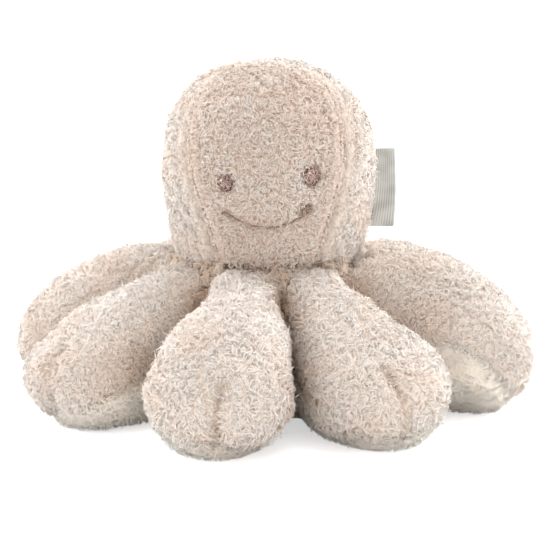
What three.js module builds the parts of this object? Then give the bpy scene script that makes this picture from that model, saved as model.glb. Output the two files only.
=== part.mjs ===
// A plush octopus: a stuffed head on a base, with a ring of eight stuffed legs sewn round the base.
// Millimetres, +Z up. The face looks along -Y, and the origin lies on the floor under the head.
// Left and right are as seen from the front, so left is -X.
import * as THREE from "three";

// Fabrics and the clearance between two pieces that touch
const FLEECE = 5; // curly fleece, from its backing to the tips of its pile
const BACKING = 2; // the same fleece where its pile is hidden
const VELOUR = 2;
const RIBBON = 0.6;
const THREAD = 1;
const GAP = 0.3;

// The head: a dome over sides that draw in towards the seam above the legs
const HEAD_RADIUS = 53.5;
const HEAD_TOP_Z = 170.5;
const HEAD_WIDEST_Z = 115.5;
const HEAD_RIM_Z = 75.5;
const HEAD_RIM_RADIUS = 46;
const HEAD_CROWN_HOLE = 1; // radius where the five panels' points meet
const DOME_POWER = 0.83; // under 1 is squarer than an ellipse
const LOWER_ROWS = 4;
const UPPER_ROWS = 6;
const FACE_SEAM_LOW = 35; // degrees from the front at the rim
const FACE_SEAM_HIGH = 77; // degrees from the front at the crown
const FACE_SEAM_POWER = 1.5; // over 1 keeps the face narrow up to the cheeks
const FACE_LEAN = 8; // degrees that the face panel has turned to the left at the crown
const SIDE_SEAM = 93;
const BACK_SEAM = 180;

// The face, by degrees from the front and height
const FACE_TURN = 0.4; // the whole face sits a touch to the right
const EYE_SPREAD = 23.1;
const LEFT_EYE_Z = 115.2;
const RIGHT_EYE_Z = 119;
const EYE_WIDTH = 8.2;
const EYE_HEIGHT = 9;
const GLINT_RADIUS = 0.9;
const GLINT_OFFSET = 1.7;
const GLINT_THICKNESS = 0.4;
const PAD_SEGMENTS = 16;
const SMILE_SPREAD = 23.5;
const SMILE_LOW_Z = 95;
const SMILE_LEFT_Z = 102;
const SMILE_RIGHT_Z = 104;
const SMILE_WIDTH = 1.7;
const SMILE_STEPS = 18;
const TICK_STEPS = 4;
const THREAD_SEGMENTS = 3; // in each quarter turn of a thread's section
const TICK_LENGTH = 5;
const TICK_WIDTH = 2.2;

// The ribbon loop in the right side seam
const LABEL_LOW_Z = 86.6;
const LABEL_HEIGHT = 39;
const LABEL_OUT = 9.2;
const LABEL_BULGE = 0.7; // half the room inside the loop
const LABEL_BOW = 0.8; // how far the outer edge bows at mid height
const LABEL_ROWS = 6;
const FOLD_STEPS = 4;

// The base between the legs
const LEG_COUNT = 8;
const BASE_APOTHEM = 44;
const BASE_CHAMFER = 3;
const BASE_SHOULDER_Z = 60; // where the base starts to draw in under the head
const BASE_TOP_APOTHEM = 38;

// A leg, in its own upright plane: out from the head's axis, and up
const RING_TURN = -15; // degrees from the front to the first leg
const LEG_REACH = 128;
const TOE_SHARE = 0.258; // of the reach
const TOE_RADIUS = LEG_REACH * TOE_SHARE;
const LEG_ROOT_TOP_Z = 73.5;
const LEG_ROOT_FOOT_Z = 8;
const LEG_HIGH_Z = 77;
const LEG_ROOT_EQUATOR_Z = 52;
const TOE_EQUATOR_Z = 24;
const TOE_NOSE_DROP = 16; // how much lower the top would lie at the toe's tip than over its centre
const LEG_ROOT_HALF_WIDTH = 18.1;
const LEG_ROOT_POWER = 0.68; // squarish, so that neighbouring roots meet up to the head
const LEG_POWER = 0.9;
const TOE_STEPS = 6;
const COVER_ROWS = 4;
const SOLE_ROWS = 2;
const SOLE_FLAT_ANGLE = 60; // degrees below the equator where the flat underside starts
const FLOOR_CUT = 0.5; // how deep a rolled leg is pressed flat on the floor

// Along a leg from root to toe centre: place, half width, equator and section power as shares of their
// spans, the top as a share of the leg's greatest height, the foot's height as a share of the root's,
// and the seam's angle below the equator in degrees.
const LEG_STATION_SHARES = [
  { along: 0, wide: 0, top: LEG_ROOT_TOP_Z / LEG_HIGH_Z, equator: 0, power: 0, foot: 1, seam: 6 },
  { along: 0.24, wide: 0.17, top: 0.98, equator: 0.32, power: 0.9, foot: 0.4, seam: 6 },
  { along: 0.5, wide: 0.45, top: 0.965, equator: 0.68, power: 1, foot: 0, seam: 8 },
  { along: 0.78, wide: 0.8, top: 0.93, equator: 0.93, power: 1, foot: 0, seam: 16 },
  { along: 1, wide: 1, top: 0.87, equator: 0.97, power: 1, foot: 0, seam: 28 },
];
const TOE_SEAM_ANGLE = 48;

// Each leg's own lie: its reach, and the heights of its crest and of its toe, as shares. Its sideways bow
// and its sway at the toe, as shares of the toe's radius. And how far it is rolled about its length, in
// degrees, more than none with its right edge up.
const LEGS = [
  { name: "leg_1", reach: 1.02, crest: 0.97, toeTop: 0.93, bow: 0.11, sway: 0.15, roll: -6 },
  { name: "leg_2", reach: 1.01, crest: 1.01, toeTop: 0.74, bow: -0.07, sway: 0.06, roll: 6 },
  { name: "leg_3", reach: 1.03, crest: 1.06, toeTop: 1, bow: 0, sway: 0.06, roll: -42 },
  { name: "leg_4", reach: 1, crest: 1, toeTop: 1, bow: 0, sway: 0, roll: 0 },
  { name: "leg_5", reach: 0.98, crest: 1, toeTop: 0.98, bow: 0, sway: 0.04, roll: 0 },
  { name: "leg_6", reach: 1, crest: 1, toeTop: 1.02, bow: 0, sway: -0.04, roll: 0 },
  { name: "leg_7", reach: 1.04, crest: 1.03, toeTop: 0.92, bow: 0, sway: 0.02, roll: 8 },
  { name: "leg_8", reach: 1, crest: 0.97, toeTop: 0.83, bow: 0, sway: -0.06, roll: 4 },
];

const radians = THREE.MathUtils.degToRad;
const mix = THREE.MathUtils.lerp;

const fleece = { color: 0xe3d8cc, roughness: 1 };
const faceFleece = { color: 0xd8cabc, roughness: 1 };
const velour = { color: 0xece7dc, roughness: 0.95 };
const stuffing = { color: 0xf4f3ef, roughness: 1 };
const eyeThread = { color: 0x6b5350, roughness: 0.6 };
const glintThread = { color: 0xf5f1ee, roughness: 0.6 };
const smileThread = { color: 0x6a4f47, roughness: 0.6 };
const satin = { color: 0xc9c7c2, roughness: 0.4 };

const toy = new THREE.Group();

function addPiece(name, geometry, finish, place = new THREE.Vector3()) {
  const piece = new THREE.Mesh(geometry, new THREE.MeshStandardMaterial(finish));
  piece.name = name;
  piece.position.copy(place);
  toy.add(piece);
  return piece;
}

// Faces gathered as loose triangles. A triangle with two corners in one place is left out.
class Faces {
  constructor() {
    this.corners = [];
  }

  triangle(a, b, c) {
    const near = (p, q) => p.distanceToSquared(q) < Number.EPSILON;
    if (!near(a, b) && !near(b, c) && !near(c, a)) {
      this.corners.push(...a.toArray(), ...b.toArray(), ...c.toArray());
    }
  }

  quad(a, b, c, d) {
    this.triangle(a, b, c);
    this.triangle(a, c, d);
  }

  // A sheet of columns of points, seen from its outside with columns from left to right and rows upwards
  sheet(columns) {
    for (let i = 0; i + 1 < columns.length; i += 1) {
      for (let j = 0; j + 1 < columns[i].length; j += 1) {
        this.quad(columns[i][j], columns[i + 1][j], columns[i + 1][j + 1], columns[i][j + 1]);
      }
    }
  }

  // The same sheet facing the other way, cut into the same triangles
  lining(columns) {
    const front = new Faces();
    front.sheet(columns);
    for (let k = 0; k < front.corners.length; k += 9) {
      const [a, b, c] = [k, k + 3, k + 6].map((at) => front.corners.slice(at, at + 3));
      this.corners.push(...a, ...c, ...b);
    }
  }

  // The strip between two lines of points, with a on the left of b as seen from outside
  strip(a, b) {
    this.sheet([a, b]);
  }

  geometry() {
    const made = new THREE.BufferGeometry();
    made.setAttribute("position", new THREE.Float32BufferAttribute(this.corners, 3));
    made.computeVertexNormals();
    return made;
  }
}

// A cover between an outer and an inner sheet, closed by rims along the edges that are named
function coverGeometry(outer, inner, { low = false, high = false, sides = false }) {
  const faces = new Faces();
  const top = outer[0].length - 1;
  faces.sheet(outer);
  faces.lining(inner);
  if (low) faces.sheet(outer.map((column, i) => [inner[i][0], column[0]]));
  if (high) faces.sheet(outer.map((column, i) => [column[top], inner[i][top]]));
  if (sides) {
    faces.strip(inner[0], outer[0]);
    faces.strip(outer.at(-1), inner.at(-1));
  }
  return faces.geometry();
}

// The head's outline at a row: 0 is the rim over the legs, and the last row is the crown.
// depth is how far the surface lies under the pile's tips.
function headOutline(rowNumber, depth) {
  if (rowNumber < LOWER_ROWS) {
    const drop = 1 - rowNumber / LOWER_ROWS;
    const radius = mix(HEAD_RADIUS, HEAD_RIM_RADIUS, drop ** 2) - depth;
    return { radius, z: mix(HEAD_WIDEST_Z, HEAD_RIM_Z, drop) };
  }
  const angle = radians(90 * (rowNumber - LOWER_ROWS) / UPPER_ROWS);
  const radius = Math.max((HEAD_RADIUS - depth) * Math.cos(angle) ** DOME_POWER, HEAD_CROWN_HOLE);
  const rise = HEAD_TOP_Z - depth - HEAD_WIDEST_Z;
  return { radius, z: HEAD_WIDEST_Z + rise * Math.sin(angle) ** DOME_POWER };
}

// The radius of the head's outside at a height
function headRadiusAt(z) {
  const drop = Math.max(HEAD_WIDEST_Z - z, 0) / (HEAD_WIDEST_Z - HEAD_RIM_Z);
  const rise = Math.max(z - HEAD_WIDEST_Z, 0) / (HEAD_TOP_Z - HEAD_WIDEST_Z);
  const dome = (1 - rise ** (2 / DOME_POWER)) ** (DOME_POWER / 2);
  return mix(HEAD_RADIUS, HEAD_RIM_RADIUS, drop ** 2) * dome;
}

const aroundHead = (degrees, radius, z) =>
  new THREE.Vector3(radius * Math.sin(radians(degrees)), -radius * Math.cos(radians(degrees)), z);

// The seams by the share of the way from the rim to the crown
const faceHalf = (share) => mix(FACE_SEAM_LOW, FACE_SEAM_HIGH, share ** FACE_SEAM_POWER);
const leftFaceSeam = (share) => -faceHalf(share) - FACE_LEAN * share ** 2;
const rightFaceSeam = (share) => faceHalf(share) - FACE_LEAN * share ** 2;

const HEAD_PANELS = [
  { name: "face_panel", from: leftFaceSeam, to: rightFaceSeam, columns: 8, finish: faceFleece },
  { name: "right_side_panel", from: rightFaceSeam, to: () => SIDE_SEAM, columns: 4, finish: fleece },
  { name: "right_back_panel", from: () => SIDE_SEAM, to: () => BACK_SEAM, columns: 5, finish: fleece },
  { name: "left_back_panel", from: () => BACK_SEAM, to: () => 360 - SIDE_SEAM, columns: 5, finish: fleece },
  { name: "left_side_panel", from: () => -SIDE_SEAM, to: leftFaceSeam, columns: 4, finish: fleece },
];

// A panel's columns of points at a depth, drawn in by half the clearance at each seam
function panelColumns(panel, depth) {
  const rows = LOWER_ROWS + UPPER_ROWS;
  return Array.from({ length: panel.columns + 1 }, (_, i) =>
    Array.from({ length: rows + 1 }, (__, j) => {
      const { radius, z } = headOutline(j, depth);
      const share = j / rows;
      const inset = THREE.MathUtils.radToDeg(GAP / 2 / radius);
      const degrees = mix(panel.from(share) + inset, panel.to(share) - inset, i / panel.columns);
      return aroundHead(degrees, radius, z);
    }),
  );
}

function addHeadPanels() {
  for (const panel of HEAD_PANELS) {
    const outer = panelColumns(panel, 0);
    const inner = panelColumns(panel, FLEECE);
    const rims = { low: true, high: true, sides: true };
    addPiece(panel.name, coverGeometry(outer, inner, rims), panel.finish);
  }
}

// The head's stuffing follows the inside of the panels and closes at the crown and the rim
function addHeadFilling() {
  const faces = new Faces();
  const depth = FLEECE + GAP;
  const columns = HEAD_PANELS.flatMap((panel) => panelColumns(panel, depth));
  columns.push(columns[0]);
  const crown = new THREE.Vector3(0, 0, HEAD_TOP_Z - depth);
  const floor = new THREE.Vector3(0, 0, HEAD_RIM_Z);
  faces.sheet(columns);
  for (let i = 0; i + 1 < columns.length; i += 1) {
    faces.triangle(columns[i].at(-1), columns[i + 1].at(-1), crown);
    faces.triangle(columns[i + 1][0], columns[i][0], floor);
  }
  addPiece("head_filling", faces.geometry(), stuffing);
}

// Where a piece sits on the face: its place, a given way above the pile, and the way out
function onFace(degrees, z, above) {
  const turned = degrees + FACE_TURN;
  const out = aroundHead(turned, 1, 0);
  return { place: aroundHead(turned, headRadiusAt(z) + above, z), out };
}

// A low round pad of stitches that faces along +Z: flat behind and on top, round at its edge
function padGeometry(width, height, thickness) {
  const edge = thickness / 2;
  const half = width / 2;
  const profile = [
    new THREE.Vector2(0, 0),
    new THREE.Vector2(half - edge, 0),
    new THREE.Vector2(half, edge),
    new THREE.Vector2(half - edge, thickness),
    new THREE.Vector2(0, thickness),
  ];
  const pad = new THREE.LatheGeometry(profile, PAD_SEGMENTS);
  pad.rotateX(Math.PI / 2);
  pad.scale(1, height / width, 1);
  return pad;
}

const faceOutwards = (piece, out) =>
  piece.quaternion.setFromRotationMatrix(
    new THREE.Matrix4().lookAt(out, new THREE.Vector3(), new THREE.Vector3(0, 0, 1)),
  );

function addEye(side, degrees, z) {
  const eye = onFace(degrees, z, GAP);
  const pad = addPiece(`${side}_eye`, padGeometry(EYE_WIDTH, EYE_HEIGHT, THREAD), eyeThread, eye.place);
  faceOutwards(pad, eye.out);
  const glint = onFace(degrees, z, GAP + THREAD + GAP);
  const spot = padGeometry(2 * GLINT_RADIUS, 2 * GLINT_RADIUS, GLINT_THICKNESS);
  spot.translate(-GLINT_OFFSET, GLINT_OFFSET, 0);
  faceOutwards(addPiece(`${side}_eye_glint`, spot, glintThread, glint.place), glint.out);
}

// The smile's height at a share of the way from its left end to its right end
const smileZ = (share) =>
  mix(SMILE_LEFT_Z, SMILE_RIGHT_Z, share) - (mix(SMILE_LEFT_Z, SMILE_RIGHT_Z, 0.5) - SMILE_LOW_Z)
    * (1 - (2 * share - 1) ** 2);

function stitchGeometry(points, width, steps) {
  const section = new THREE.Shape().absarc(0, 0, width / 2, 0, 2 * Math.PI);
  const extrudePath = new THREE.CatmullRomCurve3(points);
  return new THREE.ExtrudeGeometry(section, { steps, curveSegments: THREAD_SEGMENTS, extrudePath });
}

function addSmile() {
  const points = Array.from({ length: SMILE_STEPS + 1 }, (_, i) => {
    const share = i / SMILE_STEPS;
    const degrees = mix(-SMILE_SPREAD, SMILE_SPREAD, share);
    return onFace(degrees, smileZ(share), GAP + SMILE_WIDTH / 2).place;
  });
  addPiece("smile", stitchGeometry(points, SMILE_WIDTH, SMILE_STEPS), smileThread);
  const clear = (SMILE_WIDTH + TICK_WIDTH) / 2 + GAP; // from the smile's end to the middle of the tick
  const ends = [{ side: "left", end: points[0], sign: -1 }, { side: "right", end: points.at(-1), sign: 1 }];
  for (const { side, end, sign } of ends) {
    const beside = Math.atan2(end.x, -end.y) + (sign * clear) / headRadiusAt(end.z);
    const degrees = THREE.MathUtils.radToDeg(beside) - FACE_TURN;
    const tick = [-0.5, 0, 0.5].map((share) => {
      const z = end.z + share * TICK_LENGTH;
      return onFace(degrees, z, GAP + TICK_WIDTH / 2).place;
    });
    addPiece(`smile_${side}_tick`, stitchGeometry(tick, TICK_WIDTH, TICK_STEPS), smileThread);
  }
}

// The ribbon lies in two layers from the seam to a round fold. Each row is its section at one height.
function labelSection(z, bow) {
  const root = headRadiusAt(z) + GAP;
  const fold = HEAD_RADIUS + LABEL_OUT + bow - LABEL_BULGE - RIBBON;
  const flare = mix(root, fold, 0.5);
  const seam = GAP / 2; // half the slit between the layers at the seam
  const half = (bulge) => {
    const turns = Array.from({ length: FOLD_STEPS + 1 }, (_, i) => radians(90 - (90 * i) / FOLD_STEPS));
    return turns.map((a) => [fold + bulge * Math.cos(a), bulge * Math.sin(a)]);
  };
  const outer = [[root, seam + RIBBON], [flare, LABEL_BULGE + RIBBON], ...half(LABEL_BULGE + RIBBON)];
  const inner = [[root, seam], [flare, LABEL_BULGE], ...half(LABEL_BULGE)];
  const mirrored = (line) => line.slice(0, -1).reverse().map(([x, y]) => [x, -y]);
  const ring = [...outer, ...mirrored(outer), ...[...inner, ...mirrored(inner)].reverse()];
  return ring.reverse().map(([x, y]) => new THREE.Vector2(x, y));
}

function addLabel() {
  const faces = new Faces();
  const rows = Array.from({ length: LABEL_ROWS + 1 }, (_, i) => {
    const share = i / LABEL_ROWS;
    const z = LABEL_LOW_Z + share * LABEL_HEIGHT;
    const section = labelSection(z, LABEL_BOW * (1 - (2 * share - 1) ** 2));
    return section.map((p) => {
      const out = aroundHead(SIDE_SEAM, p.x, z);
      return out.add(aroundHead(SIDE_SEAM - 90, -p.y, 0));
    });
  });
  const flat = labelSection(LABEL_LOW_Z, 0);
  const ends = THREE.ShapeUtils.triangulateShape(flat, []);
  const count = rows[0].length;
  for (let j = 0; j < LABEL_ROWS; j += 1) {
    for (let i = 0; i < count; i += 1) {
      const next = (i + 1) % count;
      faces.quad(rows[j][i], rows[j][next], rows[j + 1][next], rows[j + 1][i]);
    }
  }
  for (const [a, b, c] of ends) {
    faces.triangle(rows[0][c], rows[0][b], rows[0][a]);
    faces.triangle(rows[LABEL_ROWS][a], rows[LABEL_ROWS][b], rows[LABEL_ROWS][c]);
  }
  addPiece("side_label", faces.geometry(), satin);
}

// The base has one side for each leg. It draws in at its foot and under the head.
// Its columns of corners at a depth run from the foot up, and the last column repeats the first.
function baseColumns(depth) {
  const foot = VELOUR + GAP;
  const levels = [
    { apothem: BASE_APOTHEM - BASE_CHAMFER, z: foot },
    { apothem: BASE_APOTHEM, z: foot + BASE_CHAMFER },
    { apothem: BASE_APOTHEM, z: BASE_SHOULDER_Z },
    { apothem: BASE_TOP_APOTHEM, z: HEAD_RIM_Z - GAP },
  ];
  return Array.from({ length: LEG_COUNT + 1 }, (_, i) => {
    const degrees = RING_TURN + (((i % LEG_COUNT) + 0.5) * 360) / LEG_COUNT;
    return levels.map(({ apothem, z }) => aroundHead(degrees, baseCorner(apothem - depth), z));
  });
}

const baseCorner = (apothem) => apothem / Math.cos(Math.PI / LEG_COUNT);

function addBase() {
  const rims = { low: true, high: true };
  addPiece("base_band", coverGeometry(baseColumns(0), baseColumns(BACKING), rims), fleece);

  const columns = baseColumns(BACKING + GAP);
  const faces = new Faces();
  faces.sheet(columns);
  const foot = new THREE.Vector3(0, 0, columns[0][0].z);
  const top = new THREE.Vector3(0, 0, columns[0].at(-1).z);
  for (let i = 0; i < LEG_COUNT; i += 1) {
    faces.triangle(columns[i].at(-1), columns[i + 1].at(-1), top);
    faces.triangle(columns[i + 1][0], columns[i][0], foot);
  }
  addPiece("base_filling", faces.geometry(), stuffing);

  const discRadius = baseCorner(BASE_APOTHEM);
  const disc = new THREE.CylinderGeometry(discRadius, discRadius, VELOUR, LEG_COUNT);
  disc.rotateX(Math.PI / 2);
  disc.rotateZ(radians(RING_TURN + 180 / LEG_COUNT));
  addPiece("base_disc", disc, velour, new THREE.Vector3(0, 0, VELOUR / 2));
}

// 0 at both ends of a leg and 1 half way along it
const hump = (along) => 4 * along * (1 - along);

// A leg's columns run from the root along its left edge, round the toe and back along its right edge.
// Each has the point on the leg's middle line that it closes to, and a point on the outline.
function legColumns(leg, depth) {
  const root = BASE_APOTHEM + GAP;
  const toeCentre = LEG_REACH * leg.reach - TOE_RADIUS;
  const sides = LEG_STATION_SHARES.map((share) => {
    const out = mix(root, toeCentre, share.along);
    const height = mix(1, leg.toeTop, share.along) + (leg.crest - 1) * hump(share.along);
    return {
      middle: out,
      out,
      half: mix(LEG_ROOT_HALF_WIDTH, TOE_RADIUS, share.wide) - depth,
      top: LEG_HIGH_Z * share.top * height - depth,
      ahead: 0,
      equator: mix(LEG_ROOT_EQUATOR_Z, TOE_EQUATOR_Z, share.equator),
      power: mix(LEG_ROOT_POWER, LEG_POWER, share.power),
      foot: LEG_ROOT_FOOT_Z * share.foot + depth,
      seam: share.seam,
    };
  });
  const last = sides.at(-1);
  const toe = Array.from({ length: TOE_STEPS - 1 }, (_, i) => {
    const angle = (Math.PI * (i + 1)) / TOE_STEPS - Math.PI / 2;
    const ahead = Math.cos(angle);
    return {
      ...last,
      out: last.out + last.half * ahead,
      half: last.half * Math.sin(angle),
      ahead,
      equator: mix(last.equator, TOE_EQUATOR_Z, ahead),
      seam: mix(last.seam, TOE_SEAM_ANGLE, ahead),
    };
  });
  const left = sides.map((side) => ({ ...side, half: -side.half }));
  return [...left, ...toe, ...sides.reverse()];
}

// A point of a leg at a height angle, in degrees above the equator. flat sets it on the underside.
function legPoint(column, angle, flat = false) {
  const across = Math.cos(radians(angle)) ** column.power;
  const up = Math.sin(radians(Math.abs(angle))) ** column.power;
  const top = column.top - TOE_NOSE_DROP * column.ahead * across;
  const end = angle > 0 ? top : column.foot;
  return {
    out: mix(column.middle, column.out, across),
    side: column.half * across,
    z: flat ? column.foot : mix(column.equator, end, up),
  };
}

// Turns a leg's own point to its place in the ring, with its bow, its sway and its roll. lift raises the toe,
// and nothing lies lower than floor.
function legPlace(leg, number, lift, floor, { out, side, z }) {
  const root = BASE_APOTHEM + GAP;
  const along = THREE.MathUtils.clamp((out - root) / (LEG_REACH - TOE_RADIUS - root), 0, 1);
  const turn = radians(leg.roll) * along;
  const middle = mix(mix(LEG_ROOT_TOP_Z, LEG_ROOT_FOOT_Z, 0.5), TOE_RADIUS, along);
  const sideways = TOE_RADIUS * (leg.bow * hump(along) + leg.sway * along ** 2);
  const swung = side * Math.cos(turn) - (z - middle) * Math.sin(turn) + sideways;
  const raised = side * Math.sin(turn) + (z - middle) * Math.cos(turn) + middle + lift * along;
  const degrees = RING_TURN + (number * 360) / LEG_COUNT;
  const place = aroundHead(degrees, out, Math.max(raised, floor));
  return place.add(aroundHead(degrees + 90, swung, 0));
}

// The columns of a leg's cover, sole or whole form at a depth. The cover runs from the seam up to the
// middle line, and the sole from the seam down to it.
function legSheet(leg, number, lift, depth, part, seamDrop = 0, floor = depth) {
  return legColumns(leg, depth).map((column) => {
    const seam = -column.seam - seamDrop;
    const above = (j) => legPoint(column, mix(-column.seam, 90, j / COVER_ROWS));
    const below = (j) => legPoint(column, mix(-SOLE_FLAT_ANGLE, seam, j / SOLE_ROWS), j === 0);
    const keel = legPoint(column, -90);
    const points = [];
    if (part !== "cover") {
      points.push(keel);
      for (let j = 0; j < SOLE_ROWS; j += 1) points.push(below(j));
    }
    if (part === "sole") points.push(below(SOLE_ROWS));
    if (part !== "sole") {
      for (let j = 0; j <= COVER_ROWS; j += 1) points.push(above(j));
    }
    return points.map((point) => legPlace(leg, number, lift, floor, point));
  });
}

// How far a rolled leg is raised so that only the floor cut of it lies under the floor
function liftOf(leg, number) {
  const points = legSheet(leg, number, 0, 0, "whole", 0, -Infinity).flat();
  const lowest = Math.min(...points.map((p) => p.z));
  return Math.max(-lowest - FLOOR_CUT, 0);
}

function addLeg(leg, number) {
  const lift = liftOf(leg, number);
  const seamDrop = THREE.MathUtils.radToDeg(GAP / LEG_ROOT_HALF_WIDTH);
  const cover = (depth) => legSheet(leg, number, lift, depth, "cover");
  const sole = (depth) => legSheet(leg, number, lift, depth, "sole", seamDrop);
  const coverRims = { low: true, sides: true };
  const soleRims = { high: true, sides: true };
  addPiece(`${leg.name}_cover`, coverGeometry(cover(0), cover(FLEECE), coverRims), fleece);
  addPiece(`${leg.name}_sole`, coverGeometry(sole(0), sole(VELOUR), soleRims), velour);

  const under = legSheet(leg, number, lift, VELOUR + GAP, "sole", seamDrop);
  const over = cover(FLEECE + GAP);
  const columns = over.map((column, i) => [...under[i].slice(0, -1), ...column]);
  const faces = new Faces();
  faces.sheet(columns);
  faces.strip(columns.at(-1), columns[0]);
  addPiece(`${leg.name}_filling`, faces.geometry(), stuffing);
}

addHeadPanels();
addHeadFilling();
addEye("left", -EYE_SPREAD, LEFT_EYE_Z);
addEye("right", EYE_SPREAD, RIGHT_EYE_Z);
addSmile();
addLabel();
addBase();
LEGS.forEach(addLeg);

export default toy;
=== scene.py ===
"""A plush octopus in curly fleece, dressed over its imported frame.

Sizes are in millimetres until a mesh is made, +Z is up, the face looks along -Y and left is -X.
The skins follow the frame's forms at the depth of the pile, and the pile grows out of them.
"""

from __future__ import annotations

import logging
import math
from collections.abc import Callable
from dataclasses import dataclass, field, replace
from enum import Enum

import bpy
import numpy as np
from bpy.types import Material, Mesh, Node, NodeSocket, NodeTree, Object
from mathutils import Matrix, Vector

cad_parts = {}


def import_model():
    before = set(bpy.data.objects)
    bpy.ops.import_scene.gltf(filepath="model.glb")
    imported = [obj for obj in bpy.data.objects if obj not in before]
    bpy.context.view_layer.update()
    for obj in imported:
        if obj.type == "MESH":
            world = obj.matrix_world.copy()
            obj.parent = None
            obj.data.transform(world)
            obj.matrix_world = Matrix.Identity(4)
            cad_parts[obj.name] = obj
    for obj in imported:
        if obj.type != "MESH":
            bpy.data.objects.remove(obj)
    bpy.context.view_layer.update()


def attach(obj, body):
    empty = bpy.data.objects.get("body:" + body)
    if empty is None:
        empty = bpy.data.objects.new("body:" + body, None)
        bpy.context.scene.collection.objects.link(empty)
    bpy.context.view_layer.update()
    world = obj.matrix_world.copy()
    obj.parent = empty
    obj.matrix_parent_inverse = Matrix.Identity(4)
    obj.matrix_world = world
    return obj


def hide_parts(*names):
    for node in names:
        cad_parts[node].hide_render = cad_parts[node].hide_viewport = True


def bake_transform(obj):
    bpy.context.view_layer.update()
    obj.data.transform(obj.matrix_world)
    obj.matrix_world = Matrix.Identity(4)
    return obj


LOG = logging.getLogger("octopus")
MM = 0.001

# Short names of types, for the signatures
Array = np.ndarray
Pair = tuple[float, float]
Place = tuple[float, float, float]
Trio = tuple[Array, Array, Array]
Measure = Callable[[Array], Array]

# The frame's own measures, which its source gives too
HEAD_RADIUS = 53.5
HEAD_TOP_Z = 170.5
HEAD_WIDEST_Z = 115.5
HEAD_RIM_Z = 75.5
HEAD_RIM_RADIUS = 46.0
DOME_POWER = 0.83
FRAME_LOWER_ROWS = 4
FRAME_UPPER_ROWS = 6
SIDE_SEAM = 93.0
BACK_SEAM = 180.0
LEG_COUNT = 8
RING_TURN = -15.0
BASE_APOTHEM = 44.0
LEG_REACH = 128.0
TOE_SHARE = 0.258
LEG_ROOT_TOP = 73.5
LEG_HIGH = 77.0


def around(degrees: Array | float, radius: Array | float, z: Array | float) -> Array:
    """Points on circles round the head's axis.

    Args:
        degrees: The way from the front, positive to the right.
        radius: The distance from the axis.
        z: The height.

    Returns:
        The points, with their three coordinates last.
    """
    turn = np.radians(degrees)
    x, y, z = np.broadcast_arrays(radius * np.sin(turn), -radius * np.cos(turn), z)
    return np.stack([x, y, z], -1).astype(float)


def mix(a: Array | float, b: Array | float, share: Array | float) -> Array | float:
    """The value a share of the way from a to b."""
    return a + (b - a) * share


def bell(distance: Array, width: float) -> Array:
    """1 at no distance, falling to about a third at the width."""
    return np.exp(-((distance / width) ** 2))


def rising(value: Array | float, start: float, end: float) -> Array:
    """0 before the start and 1 past the end, also where the end is the lower one."""
    return np.clip((value - start) / (end - start), 0, 1)


def unit(vectors: Array, least: float = 1e-9) -> Array:
    """Vectors brought to length 1, but for those shorter than the least length, which stay shorter."""
    return vectors / np.maximum(np.linalg.norm(vectors, axis=-1, keepdims=True), least)


def turn_of(points: Array) -> Array:
    """How far points are turned from the front round the head's axis, in degrees."""
    return np.degrees(np.arctan2(points[:, 0], -points[:, 1]))


def eased(at: Array, knots: Array, values: Array, level_end: bool = False) -> Array:
    """A smooth line through values at knots.

    Args:
        at: Where the line is read.
        knots: The places that have a value, rising.
        values: The values there.
        level_end: Whether the line runs level into its last knot.

    Returns:
        The line's values.
    """
    slope = np.gradient(values, knots)
    if level_end:
        slope[-1] = 0.0
    i = np.clip(np.searchsorted(knots, at, side="right") - 1, 0, len(knots) - 2)
    span = knots[i + 1] - knots[i]
    t = (at - knots[i]) / span
    rise = (3 - 2 * t) * t * t
    return (
        mix(values[i], values[i + 1], rise)
        + span * slope[i] * t * (1 - t) ** 2
        - span * slope[i + 1] * t * t * (1 - t)
    )


class Waves:
    """A smooth, seeded noise: a sum of plane waves whose lengths lie round one size."""

    def __init__(self, size: float, seed: int, count: int = 14) -> None:
        """Draws the waves.

        Args:
            size: The usual wave length, in millimetres.
            seed: The seed of the draw.
            count: How many waves are added up.
        """
        draw = np.random.default_rng(seed)
        heading = unit(draw.normal(size=(count, 3)))
        self.waves = heading * (2 * np.pi / (size * draw.uniform(0.7, 1.6, (count, 1))))
        self.phases = draw.uniform(0, 2 * np.pi, count)
        self.strength = math.sqrt(2 / count)

    def at(self, points: Array) -> Array:
        """The noise at points, about from -2 to 2 with a spread of 1."""
        return np.sin(points @ self.waves.T + self.phases).sum(-1) * self.strength


# Colours and finishes


def colour(code: str) -> tuple[float, float, float, float]:
    """An sRGB hex colour as linear values for a socket.

    Args:
        code: The colour, such as "#e4d8cd".

    Returns:
        Red, green, blue and alpha.
    """
    parts = [int(code[k : k + 2], 16) / 255 for k in (1, 3, 5)]
    red, green, blue = (p / 12.92 if p <= 0.04045 else ((p + 0.055) / 1.055) ** 2.4 for p in parts)
    return red, green, blue, 1.0


def add_node(tree: NodeTree, kind: str, links: dict | None = None, **settings: object) -> Node:
    """Adds a node with its settings, socket values and links.

    Args:
        tree: The tree it goes into.
        kind: The node's type name.
        links: Input sockets by name or number, each with a value or the output socket that feeds it.
        **settings: The node's own properties.

    Returns:
        The new node.
    """
    node = tree.nodes.new(kind)
    for name, value in settings.items():
        setattr(node, name, value)
    for socket, value in (links or {}).items():
        if isinstance(value, NodeSocket):
            tree.links.new(value, node.inputs[socket])
        else:
            node.inputs[socket].default_value = value
    return node


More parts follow.
